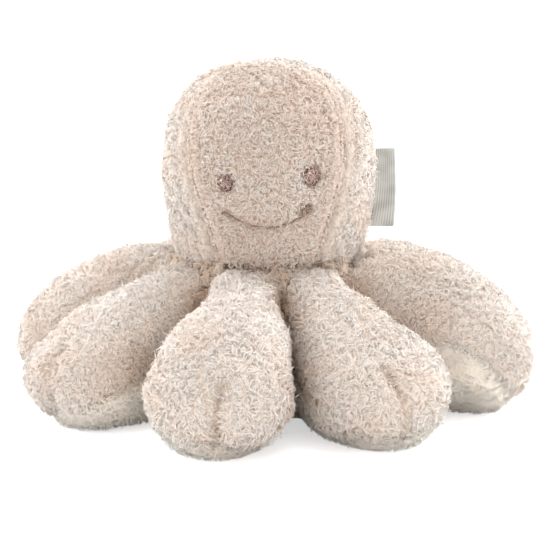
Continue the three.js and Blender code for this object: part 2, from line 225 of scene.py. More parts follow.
@dataclass(frozen=True)
class Surface:
    """A material in the making, with a Principled shader that is joined to its output."""

    material: Material
    tree: NodeTree
    shader: Node

    @classmethod
    def start(cls, name: str) -> Surface:
        """Starts an empty material.

        Args:
            name: Its name.

        Returns:
            Its surface.
        """
        material = bpy.data.materials.new(name)
        material.use_nodes = True
        tree = material.node_tree
        tree.nodes.clear()
        shader = add_node(tree, "ShaderNodeBsdfPrincipled")
        add_node(tree, "ShaderNodeOutputMaterial", {"Surface": shader.outputs["BSDF"]})
        return cls(material, tree, shader)

    def object_place(self) -> NodeSocket:
        """The place on the object, in metres."""
        return add_node(self.tree, "ShaderNodeTexCoord").outputs["Object"]

    def map_place(self, name: str) -> NodeSocket:
        """The place on one of the piece's own maps."""
        return add_node(self.tree, "ShaderNodeUVMap", uv_map=name).outputs["UV"]

    def noise(self, place: NodeSocket, size: float, **values: float) -> NodeSocket:
        """A noise whose patches have a size in the place's own unit."""
        links = {"Vector": place, "Scale": 1 / size, **values}
        return add_node(self.tree, "ShaderNodeTexNoise", links).outputs["Fac"]

    def mixed(self, share: float, first: NodeSocket, second: NodeSocket) -> NodeSocket:
        """The value a share of the way from the first to the second."""
        links = {"Factor": share, 2: first, 3: second}
        return add_node(self.tree, "ShaderNodeMix", links, data_type="FLOAT").outputs[0]

    def ranged(self, value: NodeSocket, start: float, end: float, low: float, high: float) -> NodeSocket:
        """The value, with its range from start to end turned to one from low to high."""
        links = {"Value": value, "From Min": start, "From Max": end, "To Min": low, "To Max": high}
        return add_node(self.tree, "ShaderNodeMapRange", links).outputs["Result"]

    def ramp(self, value: NodeSocket, *stops: tuple[float, str]) -> NodeSocket:
        """Turns a value into a colour.

        Args:
            value: The value.
            *stops: Places from 0 to 1, each with its colour, at least two.

        Returns:
            The colour.
        """
        node = add_node(self.tree, "ShaderNodeValToRGB", {"Fac": value})
        elements = node.color_ramp.elements
        while len(elements) < len(stops):
            elements.new(0.5)
        for element, (place, code) in zip(elements, stops):
            element.position = place
            element.color = colour(code)
        return node.outputs["Color"]

    def bump(self, height: NodeSocket, strength: float, depth: float) -> None:
        """Gives the surface a bump, with its depth in millimetres."""
        links = {"Height": height, "Strength": strength, "Distance": depth * MM}
        node = add_node(self.tree, "ShaderNodeBump", links)
        self.tree.links.new(node.outputs["Normal"], self.shader.inputs["Normal"])

    def finished(self, shade: NodeSocket, values: dict[str, object]) -> Material:
        """Gives the shader its colour and its constant values.

        Args:
            shade: What the colour comes from.
            values: The shader's other sockets by name, each with its value.

        Returns:
            The material.
        """
        self.tree.links.new(shade, self.shader.inputs["Base Color"])
        for name, value in values.items():
            self.shader.inputs[name].default_value = value
        return self.material


@dataclass(frozen=True)
class TeddyFleece:
    """Polyester teddy fleece: curled fibres, matt, pale at their tips and deeper at their roots."""

    name: str
    # deep: the colour of a lock's buried root end, and of painted shade wherever a pile tone draws the
    # lock's colour down
    deep: str = "#c39061"
    root: str = "#e0c3a8"
    middle: str = "#f8ebdf"
    tip: str = "#fef5ec"
    root_at: float = 0.08
    middle_at: float = 0.2
    tip_at: float = 0.7
    fibre_spread: float = 0.05
    blush: str = "#fbe6db"
    blush_size: float = 22.0
    blush_most: float = 0.4
    curl_size: float = 1.6
    curl_depth: float = 0.8

    def pile(self) -> Material:
        """The fibres' finish, by the pile map: across is each fibre's own tint, and up runs to its tip."""
        surface = Surface.start(f"{self.name}_pile")
        links = {"Vector": surface.map_place("pile")}
        tint, along, _ = add_node(surface.tree, "ShaderNodeSeparateXYZ", links).outputs
        grown = (self.root_at, self.root), (self.middle_at, self.middle), (self.tip_at, self.tip)
        # the first stop is the deep colour: painted shade where a tone draws a lock's colours towards its
        # root
        length = surface.ramp(along, (0.0, self.deep), *grown)
        patch = surface.noise(surface.object_place(), self.blush_size * MM, Detail=2.0)
        amount = surface.ranged(patch, 0.42, 0.68, 0.0, self.blush_most)
        links = {"Factor": amount, 6: length, 7: colour(self.blush)}
        blushed = add_node(surface.tree, "ShaderNodeMix", links, data_type="RGBA", blend_type="MULTIPLY")
        level = surface.ranged(tint, 0.0, 1.0, 1 - self.fibre_spread, 1 + self.fibre_spread / 3)
        links = {"Color": blushed.outputs[2], "Value": level}
        tinted = add_node(surface.tree, "ShaderNodeHueSaturation", links)
        return self.matt(surface, tinted.outputs["Color"])

    def backing(self) -> Material:
        """The knitted backing between the fibres' roots, with the small curls that lie flat on it."""
        surface = Surface.start(f"{self.name}_backing")
        curls = surface.noise(surface.object_place(), self.curl_size * MM, Detail=3.0, Distortion=1.2)
        surface.bump(curls, 0.8, self.curl_depth)
        return self.matt(surface, surface.ramp(curls, (0.25, self.root), (0.55, self.middle)))

    @staticmethod
    def matt(surface: Surface, shade: NodeSocket) -> Material:
        """Finishes a dull surface, with a little of the soft rim that a pile has against the light.

        Args:
            surface: The surface.
            shade: What its colour comes from.

        Returns:
            Its material.
        """
        values = {
            "Roughness": 0.95,
            "Specular IOR Level": 0.06,
            "Sheen Weight": 0.12,
            "Sheen Tint": colour("#f8e6d6"),
            "Sheen Roughness": 0.5,
        }
        return surface.finished(shade, values)


@dataclass(frozen=True)
class Velour:
    """Cream knitted velour: a short dense nap that lies in soft patches."""

    name: str
    shade: str = "#f1e3cf"
    light: str = "#faf2e5"
    patch_size: float = 18.0
    nap_size: float = 0.9
    nap_depth: float = 0.4

    def material(self) -> Material:
        """The nap's colour in patches, and its fine bump."""
        surface = Surface.start(self.name)
        place = surface.object_place()
        patch = surface.noise(place, self.patch_size * MM, Detail=3.0)
        nap = surface.noise(place, self.nap_size * MM, Detail=2.0)
        surface.bump(nap, 0.6, self.nap_depth)
        shade = surface.ramp(surface.mixed(0.4, patch, nap), (0.35, self.shade), (0.62, self.light))
        values = {"Roughness": 0.9, "Specular IOR Level": 0.25, "Sheen Weight": 0.4, "Sheen Roughness": 0.4}
        return surface.finished(shade, values)


@dataclass(frozen=True)
class Embroidery:
    """Cotton embroidery thread: matt, with a shade of its own in each stitch."""

    name: str
    deep: str
    bright: str
    ply_size: float = 0.5
    ply_depth: float = 0.15

    def material(self) -> Material:
        """The thread's colour, uneven from ply to ply."""
        surface = Surface.start(self.name)
        ply = surface.noise(surface.object_place(), self.ply_size * MM, Detail=2.0)
        links = {"Vector": surface.map_place("thread")}
        stitch = add_node(surface.tree, "ShaderNodeSeparateXYZ", links).outputs["X"]
        surface.bump(ply, 0.5, self.ply_depth)
        shade = surface.ramp(surface.mixed(0.35, stitch, ply), (0.15, self.deep), (0.85, self.bright))
        return surface.finished(shade, {"Roughness": 0.8, "Specular IOR Level": 0.25})


@dataclass(frozen=True)
class SatinRibbon:
    """Woven polyester satin ribbon: fine ribs across it and a soft gloss."""

    name: str
    shade: str = "#96958f"
    light: str = "#cfcfcb"
    rib: float = 1.1
    rib_depth: float = 0.1
    patches_per_mm: float = 0.09

    def material(self) -> Material:
        """The ribs, drawn twice as coarse as woven ones so that they show, over slow changes of shade.

        The ribbon map is in millimetres. A wave texture repeats after a tenth of pi over its scale.
        """
        surface = Surface.start(self.name)
        place = surface.map_place("ribbon")
        links = {"Vector": place, "Scale": math.pi / 10 / self.rib, "Distortion": 0.1}
        ribs = add_node(surface.tree, "ShaderNodeTexWave", links, bands_direction="X").outputs["Fac"]
        slow = surface.noise(place, 1 / self.patches_per_mm, Detail=1.0)
        surface.bump(ribs, 0.12, self.rib_depth)
        shade = surface.ramp(surface.mixed(0.24, slow, ribs), (0.3, self.shade), (0.7, self.light))
        return surface.finished(shade, {"Roughness": 0.38})


class Slot(Enum):
    """The record's material slots."""

    FLEECE = "fleece"
    FACE = "face_fleece"
    SOLE = "sole_velour"
    EYE = "eye_thread"
    GLINT = "glint_thread"
    SMILE = "smile_thread"
    LABEL = "label_satin"


# Skins: fabric as grids of points


def deselect_all() -> None:
    """Leaves nothing selected and no piece in edit mode."""
    if bpy.context.object and bpy.context.object.mode != "OBJECT":
        bpy.ops.object.mode_set(mode="OBJECT")
    bpy.ops.object.select_all(action="DESELECT")


def select_only(piece: Object) -> None:
    """Makes one piece the active one and the only one selected."""
    deselect_all()
    piece.select_set(True)
    bpy.context.view_layer.objects.active = piece


def grid_faces(columns: int, rows: int) -> Array:
    """The four-cornered faces of a grid whose points are numbered up each column in turn."""
    number = np.arange(columns * rows).reshape(columns, rows)
    corners = [number[:-1, :-1], number[1:, :-1], number[1:, 1:], number[:-1, 1:]]
    return np.stack([c.reshape(-1) for c in corners], -1)


def new_piece(name: str, mesh: Mesh) -> Object:
    """Puts a mesh into the scene as a piece of its own."""
    piece = bpy.data.objects.new(name, mesh)
    bpy.context.scene.collection.objects.link(piece)
    return piece


def thicken(piece: Object, thickness: float, offset: float) -> None:
    """Gives a sheet its thickness in millimetres, behind it at offset -1 or on both of its sides at 0."""
    select_only(piece)
    wall = piece.modifiers.new("fabric", "SOLIDIFY")
    wall.thickness = thickness * MM
    wall.offset = offset
    bpy.ops.object.modifier_apply(modifier=wall.name)


def set_map(mesh: Mesh, name: str, places: Array) -> None:
    """Gives a mesh a map, by a place for each corner of its faces."""
    mesh.uv_layers.new(name=name).uv.foreach_set("vector", places.astype(np.float32).ravel())


@dataclass
class Skin:
    """A sewn panel's outer side, as merged points and four-cornered faces.

    Each point has a normal, and the place in the grid that it comes from.
    """

    points: Array
    faces: Array
    normals: Array
    places: Array

    @classmethod
    def from_grid(cls, grid: Array) -> Skin:
        """Makes a skin of a grid, and joins the grid's points that lie in one place.

        Args:
            grid: Columns from left to right as seen from outside, each with rows upwards.

        Returns:
            The skin.
        """
        flat = grid.reshape(-1, 3)
        _, first, same = np.unique(np.round(flat, 3), axis=0, return_index=True, return_inverse=True)
        faces = same.reshape(-1)[grid_faces(*grid.shape[:2])]
        points = flat[first]
        a, b, c, d = (points[faces[:, k]] for k in range(4))
        cross = np.cross(c - a, d - b)
        normals = np.zeros_like(points)
        for k in range(4):
            np.add.at(normals, faces[:, k], cross)
        return cls(points, faces, unit(normals), first)

    def raised(self, height: Array) -> Skin:
        """The skin with each point moved out along its normal."""
        return replace(self, points=self.points + self.normals * height[:, None])

    def piece(self, name: str, thickness: float, material: Material) -> Object:
        """Makes the skin a closed shell.

        Args:
            name: The piece's name.
            thickness: How thick the fabric is under its outer side.
            material: Its finish.

        Returns:
            The new object.
        """
        mesh = bpy.data.meshes.new(name)
        faces = [list(dict.fromkeys(face)) for face in self.faces.tolist()]
        mesh.from_pydata((self.points * MM).tolist(), [], [f for f in faces if len(f) > 2])
        mesh.materials.append(material)
        piece = new_piece(name, mesh)
        thicken(piece, thickness, offset=-1.0)
        bpy.ops.object.shade_smooth()
        return piece


# The pile


def model_fibre() -> tuple[Array, Array]:
    """Models one lock of fibres: a three-sided spindle, pointed at its root and its tip.

    Returns:
        Its corners, of radius 1 half way up and height 1, and its triangles.
    """
    deselect_all()
    bpy.ops.mesh.primitive_cone_add(
        vertices=3, radius1=1.0, radius2=0.0, depth=0.5, end_fill_type="TRIFAN", location=(0, 0, 0.75)
    )
    lock = bpy.context.object
    bpy.ops.object.transform_apply(location=True)
    corners = np.array([v.co for v in lock.data.vertices])
    triangles = np.array([list(p.vertices) for p in lock.data.polygons])
    # the middle of the cone's foot becomes the root
    corners[(np.linalg.norm(corners[:, :2], axis=1) < 0.01) & (corners[:, 2] < 0.75), 2] = 0.0
    bpy.data.objects.remove(lock)
    return corners, triangles


@dataclass(frozen=True)
class Pile:
    """How a pile grows in tufts of bent locks: lengths in millimetres, and the rest as shares."""

    seed: int
    per_mm2: float = 1.75
    length: float = 4.6
    lengths: Pair = (0.7, 1.2)
    strays: float = 0.08
    stray_lengths: Pair = (1.2, 1.6)
    half_width: float = 0.19
    widths: Pair = (0.6, 1.3)
    shortest: float = 0.05
    root_depth: float = 0.2
    stand: float = 0.4
    bend_at: float = 0.52
    curl: float = 1.0
    rises: Pair = (-0.2, 0.55)
    twist: float = 0.6
    lock_size: float = 6.0
    fine_size: float = 0.4
    swirls: tuple[float, float, float, float] = (0.6, 0.3, 0.6, 0.25)
    droop: float = 0.5
    tuft_size: float = 2.4
    tuft_wander: float = 0.4
    gather: float = 0.45
    gathered_low: float = 0.4
    softness: float = 0.8
    floor: float = 0.15
    fibre: tuple[Array, Array] = field(default_factory=model_fibre)

    def roots(self, skin: Skin) -> tuple[Array, Array]:
        """Spreads roots evenly over a skin.

        Args:
            skin: The backing that they stand in.

        Returns:
            The roots, and the skin's normal at each.
        """
        draw = np.random.default_rng(self.seed)
        triangles = np.concatenate([skin.faces[:, [0, 1, 2]], skin.faces[:, [0, 2, 3]]])
        a, b, c = (skin.points[triangles[:, k]] for k in range(3))
        area = np.linalg.norm(np.cross(b - a, c - a), axis=1) / 2
        total = np.cumsum(area)
        count = int(total[-1] * self.per_mm2)
        place = (np.arange(count) + draw.uniform(size=count)) / count * total[-1]
        chosen = np.minimum(np.searchsorted(total, place), len(triangles) - 1)
        u, v = draw.uniform(size=(2, count))
        folded = u + v > 1
        u[folded], v[folded] = 1 - u[folded], 1 - v[folded]
        share = np.stack([1 - u - v, u, v], -1)[:, :, None]
        corners = triangles[chosen]
        roots = (skin.points[corners] * share).sum(1)
        normals = (skin.normals[corners] * share).sum(1)
        return roots, unit(normals)

    def headings(self, roots: Array, up: Array, draw: np.random.Generator) -> tuple[Array, Array]:
        """The way each lock leans: in broad and fine swirls, with its tuft, and a little by itself.

        Args:
            roots: The locks' roots.
            up: The skin's normal at each.
            draw: Where chance comes from.

        Returns:
            The way it leans along the skin, and the way to its tuft's middle.
        """

        def swirl(size: float, first: int) -> Array:
            return np.stack([Waves(size, self.seed + first + k).at(roots) for k in range(3)], -1)

        broad, fine = swirl(self.lock_size, 11), swirl(self.lock_size * self.fine_size, 21)
        cells = np.floor((roots + self.tuft_wander * self.tuft_size * fine) / self.tuft_size)
        _, tuft, members = np.unique(cells, axis=0, return_inverse=True, return_counts=True)
        tuft = tuft.reshape(-1)
        centre = np.stack([np.bincount(tuft, roots[:, k]) / members for k in range(3)], -1)
        of_tuft = draw.normal(size=(len(members), 3))[tuft]
        ways = (broad, fine, of_tuft, draw.normal(size=roots.shape))
        heading = sum(share * way for share, way in zip(self.swirls, ways))
        heading[:, 2] -= self.droop
        heading -= up * (heading * up).sum(1, keepdims=True)
        return unit(heading, 0.6), centre[tuft] - roots

    def grow(
        self,
        name: str,
        skin: Skin,
        material: Material,
        height: Measure,
        painted_light_and_shade: Measure | None = None,
    ) -> Object:
        """Grows the pile as one mesh of bent locks.

        Args:
            name: The new object's name.
            skin: The backing.
            material: The fibres' finish.
            height: Gives each root its lock's length as a share, 0 for none.
            painted_light_and_shade: Gives each root how much of its lock takes the deep colour, as painted
                shade, or, below 0, how far it is paled, as painted light.

        Returns:
            The pile.
        """
        roots, up = self.roots(skin)
        draw = np.random.default_rng(self.seed + 1)
        share = height(roots)
        kept = share > self.shortest
        roots, up, share = roots[kept], up[kept], share[kept]
        count = len(roots)
        heading, inward = self.headings(roots, up, draw)
        first = unit(up + self.stand * heading)
        rise = draw.uniform(*self.rises, (count, 1))
        twisted = self.twist * np.cross(up, heading) * draw.normal(size=(count, 1))
        second = unit(rise * up + self.curl * heading + twisted)
        stray = draw.uniform(size=count) < self.strays
        spread = draw.uniform(*self.stray_lengths, count), draw.uniform(*self.lengths, count)
        long = self.length * share * np.where(stray, *spread)
        wide = self.half_width * draw.uniform(*self.widths, count) * np.sqrt(share)
        start = roots - up * self.root_depth
        low, high = self.gathered_low * self.gather, (1 - self.gathered_low) * self.gather
        bend = start + first * (self.bend_at * long)[:, None] + low * inward
        tip = bend + second * ((1 - self.bend_at) * long)[:, None] + high * inward
        side = unit(np.cross(first + second, draw.normal(size=(count, 3))))
        other = unit(np.cross(first + second, side))
        corners, triangles = self.fibre
        at_root, at_tip = corners[None, :, 2:] < 0.25, corners[None, :, 2:] > 0.75
        spine = np.where(at_root, start[:, None], np.where(at_tip, tip[:, None], bend[:, None]))
        spread = corners[None, :, :1] * side[:, None] + corners[None, :, 1:2] * other[:, None]
        points = spine + spread * wide[:, None, None]
        points[..., 2] = np.maximum(points[..., 2], self.floor)
        own = np.where(at_root, -first[:, None], np.where(at_tip, second[:, None], spread))
        normals = unit(self.softness * up[:, None] + (1 - self.softness) * own)
        faces = triangles[None] + (np.arange(count) * len(corners))[:, None, None]
        tint = np.repeat(draw.uniform(size=count), len(corners))
        # Painted light and shade: above 0 a lock's colours are drawn down towards its deep root colour as
        # painted shade, below 0 up towards its tip colour as painted light.
        level = np.repeat(painted_light_and_shade(roots) if painted_light_and_shade else np.zeros(count), len(corners))
        along = np.tile(corners[:, 2], count)
        along = np.where(level > 0, along * (1 - level) ** 2, along + (1 - along) * -level)
        points, faces, normals = (values.reshape(-1, 3) for values in (points, faces, normals))
        return self.mesh(name, points, faces, np.stack([tint, along], -1), normals, material)

    @staticmethod
    def mesh(
        name: str,
        points: Array,
        faces: Array,
        places: Array,
        normals: Array,
        material: Material,
    ) -> Object:
        """Makes a mesh object of many triangles at once.

        Args:
            name: Its name.
            points: Its corners, in millimetres.
            faces: Its triangles.
            places: Each corner's place on the pile map.
            normals: The way each corner is shaded, near that of the fabric, as a soft pile is.
            material: Its finish.

        Returns:
            The object.
        """
        mesh = bpy.data.meshes.new(name)
        mesh.vertices.add(len(points))
        mesh.vertices.foreach_set("co", (points * MM).astype(np.float32).ravel())
        mesh.loops.add(faces.size)
        mesh.loops.foreach_set("vertex_index", faces.astype(np.int32).ravel())
        mesh.polygons.add(len(faces))
        mesh.polygons.foreach_set("loop_start", np.arange(0, faces.size, 3, dtype=np.int32))
        mesh.update(calc_edges=True)
        set_map(mesh, "pile", places[faces.ravel()])
        mesh.materials.append(material)
        mesh.polygons.foreach_set("use_smooth", np.ones(len(faces), bool))
        mesh.normals_split_custom_set_from_vertices(normals.astype(np.float32))
        return new_piece(name, mesh)


def join(base: Object, *others: Object) -> Object:
    """Joins other objects into a base piece, which keeps its name."""
    select_only(base)
    for other in others:
        other.select_set(True)
    bpy.ops.object.join()
    return base


# The head


class Side(Enum):
    """Which side of a face a feature is on, by the sign of its turn from the front."""

    LEFT = -1
    RIGHT = 1


@dataclass
class Face:
    """The stitched face, by degrees from the front and height."""

    turn: float = 0.4
    eye_spread: float = 23.3
    eye_z: dict[Side, float] = field(default_factory=lambda: {Side.LEFT: 114.9, Side.RIGHT: 118.2})
    eye_size: dict[Side, Pair] = field(
        default_factory=lambda: {Side.LEFT: (7.4, 8.0), Side.RIGHT: (8.4, 9.6)}
    )
    smile_spread: float = 23.5
    smile_low_z: float = 94.4
    smile_end_z: dict[Side, float] = field(default_factory=lambda: {Side.LEFT: 101.6, Side.RIGHT: 102.6})
    tick: dict[Side, tuple[Pair, Pair]] = field(
        default_factory=lambda: {
            Side.LEFT: ((-25.4, 101.2), (-18.8, 99.4)),
            Side.RIGHT: ((17.6, 99.4), (22.9, 105.0)),
        }
    )
    tick_half: dict[Side, float] = field(default_factory=lambda: {Side.LEFT: 0.7, Side.RIGHT: 1.7})
    smile_marks: int = 60
    tick_marks: int = 7
    tick_end: float = 0.15
    sunk: float = 2.3
    dimple: float = 1.4
    dimple_width: float = 2.6
    eye_dimple: Pair = (0.6, 0.7)

    def smile(self, share: Array) -> tuple[Array, Array]:
        """The smile's degrees and heights at shares of the way from its left end."""
        degrees = mix(-self.smile_spread, self.smile_spread, share) + self.turn
        ends = mix(self.smile_end_z[Side.LEFT], self.smile_end_z[Side.RIGHT], share)
        sag = (self.smile_end_z[Side.LEFT] + self.smile_end_z[Side.RIGHT]) / 2 - self.smile_low_z
        return degrees, ends - sag * (1 - (2 * share - 1) ** 2)

    def marks(self) -> tuple[Array, Array]:
        """Points along the smile and its two ticks.

        Returns:
            The points unrolled, as how far round the head and how high, and half the parting at each.
        """
        share = np.linspace(0, 1, self.smile_marks)
        lines, half = [np.stack(self.smile(share), -1)], [np.zeros(len(share))]
        for side in Side:
            share = np.linspace(self.tick_end, 1 - self.tick_end, self.tick_marks)
            start, end = (np.array(place) for place in self.tick[side])
            lines.append(mix(start, end, share[:, None]))
            half.append(np.full(len(share), self.tick_half[side] / 2))
        line = np.concatenate(lines)
        return np.stack([np.radians(line[:, 0]) * HEAD_RADIUS, line[:, 1]], -1), np.concatenate(half)

    def eye_degrees(self, side: Side) -> float:
        """An eye's turn from the front."""
        return side.value * self.eye_spread + self.turn

    def eye_centre(self, side: Side) -> Array:
        """The middle of an eye on the head's outside."""
        return on_head(self.eye_degrees(side), self.eye_z[side])

    def eye_share(self, points: Array, side: Side) -> Array:
        """How far points lie from an eye's middle, as a share of its half size."""
        centre = self.eye_centre(side)
        width, tall = self.eye_size[side]
        out = centre * [1, 1, 0] / np.linalg.norm(centre[:2])
        across = np.cross([0, 0, 1], out)
        offset = points - centre
        return np.hypot(offset @ across / (width / 2), offset[:, 2] / (tall / 2))

    def smile_distance(self, points: Array) -> Array:
        """How far points lie outside the parting for the smile and its ticks, measured over the head."""
        places = np.stack([np.arctan2(points[:, 0], -points[:, 1]) * HEAD_RADIUS, points[:, 2]], -1)
        marks, half = self.marks()
        return np.clip(np.linalg.norm(places[:, None] - marks[None], axis=-1) - half, 0, None).min(1)


def head_radius(z: Array | float) -> Array:
    """The radius of the head's outside at a height."""
    z = np.asarray(z, float)
    drop = np.clip(HEAD_WIDEST_Z - z, 0, None) / (HEAD_WIDEST_Z - HEAD_RIM_Z)
    rise = np.clip((z - HEAD_WIDEST_Z) / (HEAD_TOP_Z - HEAD_WIDEST_Z), 0, 1)
    dome = (1 - rise ** (2 / DOME_POWER)) ** (DOME_POWER / 2)
    return mix(HEAD_RADIUS, HEAD_RIM_RADIUS, drop**2) * dome


def on_head(degrees: Array | float, z: Array | float) -> Array:
    """Points on the head's outside."""
    return around(degrees, head_radius(z), z)


class Seam(Enum):
    """The head's seams, each with the depth of its groove and the height of the ridge beside it."""

    FACE = (3.8, 2.2)
    PLAIN = (2.2, 0.4)


@dataclass(frozen=True)
class Panel:
    """A panel of the head's cover between two seams."""

    name: str
    left: Measure
    right: Measure
    left_seam: Seam
    right_seam: Seam
    columns: int
    slot: Slot = Slot.FLEECE

    @property
    def node(self) -> str:
        """The frame's piece that the panel dresses."""
        return f"{self.name}_panel"


@dataclass
class Head:
    """The head: five fleece panels over one stuffing, and the face on them."""

    face: Face = field(default_factory=Face)
    skin_depth: float = 3.4
    seam_low: float = 35.0
    seam_high: float = 77.0
    seam_power: float = 1.5
    face_lean: float = 8.0
    groove_width: float = 2.3
    ridge_at: float = 5.5
    ridge_width: float = 3.0
    side_ridge: float = 0.25
    crown_fade: float = 12.0
    crown_least: float = 0.2
    backing: float = 1.0
    lump_size: float = 30.0
    lump: float = 0.5
    lump_clear: float = 4.0
    tone_width: float = 2.4
    seam_short: float = 0.6
    ridge_short: float = 0.25
    # Painted light and shade in the pile's colour: painted shade in the face's seams and at the head's
    # foot, painted light on the ridges beside the face's seams, on the head's sides and on its crown.
    seam_painted_shade: float = 0.6
    ridge_painted_light: float = 0.9
    ridge_painted_light_width: float = 2.6
    outer_painted_light: float = 0.6
    outer_clear: float = 3.0
    foot_painted_shade: float = 0.15
    deep_z: Pair = (HEAD_TOP_Z - 8, HEAD_TOP_Z - 28)
    foot_z: Pair = (HEAD_RIM_Z + 9, HEAD_RIM_Z - 1)
    painted_light_turn: Pair = (48.0, 68.0)
    painted_light_z: Pair = (80.0, 100.0)
    crown_z: Pair = (148.0, 162.0)
    parting: Pair = (0.5, 1.9)
    eye_parting: Pair = (0.86, 1.26)
    face_length: float = 4.2
    face_softness: float = 0.5
    lower_rows: int = 22
    upper_rows: int = 44

    def half(self, share: Array) -> Array:
        """Half the face panel's turn at shares of the way from the rim to the crown."""
        return mix(self.seam_low, self.seam_high, share**self.seam_power)

    def face_left(self, share: Array) -> Array:
        """The face panel's left seam."""
        return -self.half(share) - self.face_lean * share**2

    def face_right(self, share: Array) -> Array:
        """The face panel's right seam."""
        return self.half(share) - self.face_lean * share**2

    def panels(self) -> list[Panel]:
        """The five panels, from the face round to the right."""

        def at(degrees: float) -> Measure:
            return lambda share: np.full_like(share, degrees)

        face, plain = Seam.FACE, Seam.PLAIN
        left, right = self.face_left, self.face_right
        return [
            Panel("face", left, right, face, face, 46, Slot.FACE),
            Panel("right_side", right, at(SIDE_SEAM), face, plain, 26),
            Panel("right_back", at(SIDE_SEAM), at(BACK_SEAM), plain, plain, 36),
            Panel("left_back", at(BACK_SEAM), at(360 - SIDE_SEAM), plain, plain, 36),
            Panel("left_side", at(-SIDE_SEAM), left, plain, face, 26),
        ]

    def outline(self) -> Trio:
        """The head's outline under the pile, from the rim up.

        Returns:
            The radius, the height and the share of the frame's rows at each row.
        """
        drop = 1 - np.arange(self.lower_rows) / self.lower_rows
        low_radius = mix(HEAD_RADIUS, HEAD_RIM_RADIUS, drop**2) - self.skin_depth
        low_z = mix(HEAD_WIDEST_Z, HEAD_RIM_Z, drop)
        angle = np.linspace(0, np.pi / 2, self.upper_rows + 1)
        high_radius = (HEAD_RADIUS - self.skin_depth) * np.cos(angle).clip(0) ** DOME_POWER
        tall = HEAD_TOP_Z - self.skin_depth - HEAD_WIDEST_Z
        high_z = HEAD_WIDEST_Z + tall * np.sin(angle) ** DOME_POWER
        frame_rows = FRAME_LOWER_ROWS + FRAME_UPPER_ROWS
        share = np.concatenate([
            (1 - drop) * FRAME_LOWER_ROWS / frame_rows,
            (FRAME_LOWER_ROWS + FRAME_UPPER_ROWS * angle / (np.pi / 2)) / frame_rows,
        ])
        return np.concatenate([low_radius, high_radius]), np.concatenate([low_z, high_z]), share

    def skin(self, panel: Panel) -> Skin:
        """Draws a panel's skin in at its seams, and the face panel's where it is stitched.

        Args:
            panel: The panel.

        Returns:
            Its skin.
        """
        radius, z, share = self.outline()
        across = np.linspace(0, 1, panel.columns + 1)[:, None]
        left, right = panel.left(share)[None], panel.right(share)[None]
        degrees = mix(left, right, across)
        wide = np.radians(right - left) * radius[None]
        fade = np.clip(radius[None] / self.crown_fade, 0, 1)
        shaped = np.zeros_like(degrees)
        for seam, distance in ((panel.left_seam, wide * across), (panel.right_seam, wide * (1 - across))):
            groove, ridge = seam.value
            shaped -= fade * groove * bell(distance, self.groove_width)
            beside = 1.0 if panel.slot is Slot.FACE else self.side_ridge
            shaped += fade * ridge * bell(distance - self.ridge_at, self.ridge_width) * beside
        shaped *= np.clip(radius[None] / HEAD_RADIUS, self.crown_least, 1)
        grid = around(degrees, radius[None] + shaped, z[None])
        skin = Skin.from_grid(grid)
        edge = np.minimum(wide * across, wide * (1 - across)).reshape(-1)[skin.places]
        lump = self.lump * Waves(self.lump_size, 5).at(skin.points)
        skin = skin.raised(lump * (1 - bell(edge, self.lump_clear)))
        return self.dimpled(skin) if panel.slot is Slot.FACE else skin

    def dimpled(self, skin: Skin) -> Skin:
        """Draws the face in where it is stitched."""
        outside = skin.points + skin.normals * self.skin_depth
        drawn = bell(self.face.smile_distance(outside), self.face.dimple_width)
        rim, width = self.face.eye_dimple
        for side in Side:
            beyond = np.clip(self.face.eye_share(outside, side) - rim, 0, None)
            drawn = np.maximum(drawn, bell(beyond, width))
        return skin.raised(-self.face.dimple * drawn)

    def seam_distance(self, points: Array) -> tuple[Array, Array]:
        """Measures points against the face panel.

        Args:
            points: The points, near the head's outside.

        Returns:
            How far they lie from the nearer of its seams, and whether they lie on it.
        """
        _, z, share = self.outline()
        row = np.interp(points[:, 2], z, share)
        turn, left, right = turn_of(points), self.face_left(row), self.face_right(row)
        away = np.radians(np.minimum(np.abs(turn - left), np.abs(turn - right)))
        return away * np.linalg.norm(points[:, :2], axis=1), (turn > left) & (turn < right)

    def pile_painted_light_and_shade(self, roots: Array) -> Array:
        """The pile's painted light and shade: painted shade in the face's seams and at the head's foot,
        painted light on the ridges beside the seams, on the head's sides and on its crown.
        """
        away, inside = self.seam_distance(roots)
        z = roots[:, 2]
        # painted light on the head's sides and crown and on the ridges beside the face's seams; painted
        # shade in those seams and at the head's foot
        beside = rising(np.abs(turn_of(roots)), *self.painted_light_turn) * rising(z, *self.painted_light_z)
        outer = np.maximum(beside, rising(z, *self.crown_z))
        ridge = self.ridge_painted_light * inside * bell(away - self.ridge_at, self.ridge_painted_light_width)
        drawn = rising(z, *self.deep_z) * (self.seam_painted_shade * bell(away, self.tone_width) - ridge)
        pale = self.outer_painted_light * outer * (1 - bell(away, self.outer_clear))
        return np.maximum(drawn - pale, self.foot_painted_shade * rising(z, *self.foot_z))

    def pile_height(self, roots: Array) -> Array:
        """The pile's length as a share: short in the face's seams and on the ridges beside them."""
        away, _ = self.seam_distance(roots)
        groove, ridge = bell(away, self.tone_width), bell(away - self.ridge_at, self.tone_width)
        return 1 - self.seam_short * groove - self.ridge_short * ridge

    def face_pile_height(self, roots: Array) -> Array:
        """The face's pile length as a share: none under a stitch, and short beside it."""
        outside = on_head(turn_of(roots), roots[:, 2])
        share = rising(self.face.smile_distance(outside), *self.parting)
        for side in Side:
            share = np.minimum(share, rising(self.face.eye_share(outside, side), *self.eye_parting))
        return np.sqrt(share) * self.pile_height(roots)

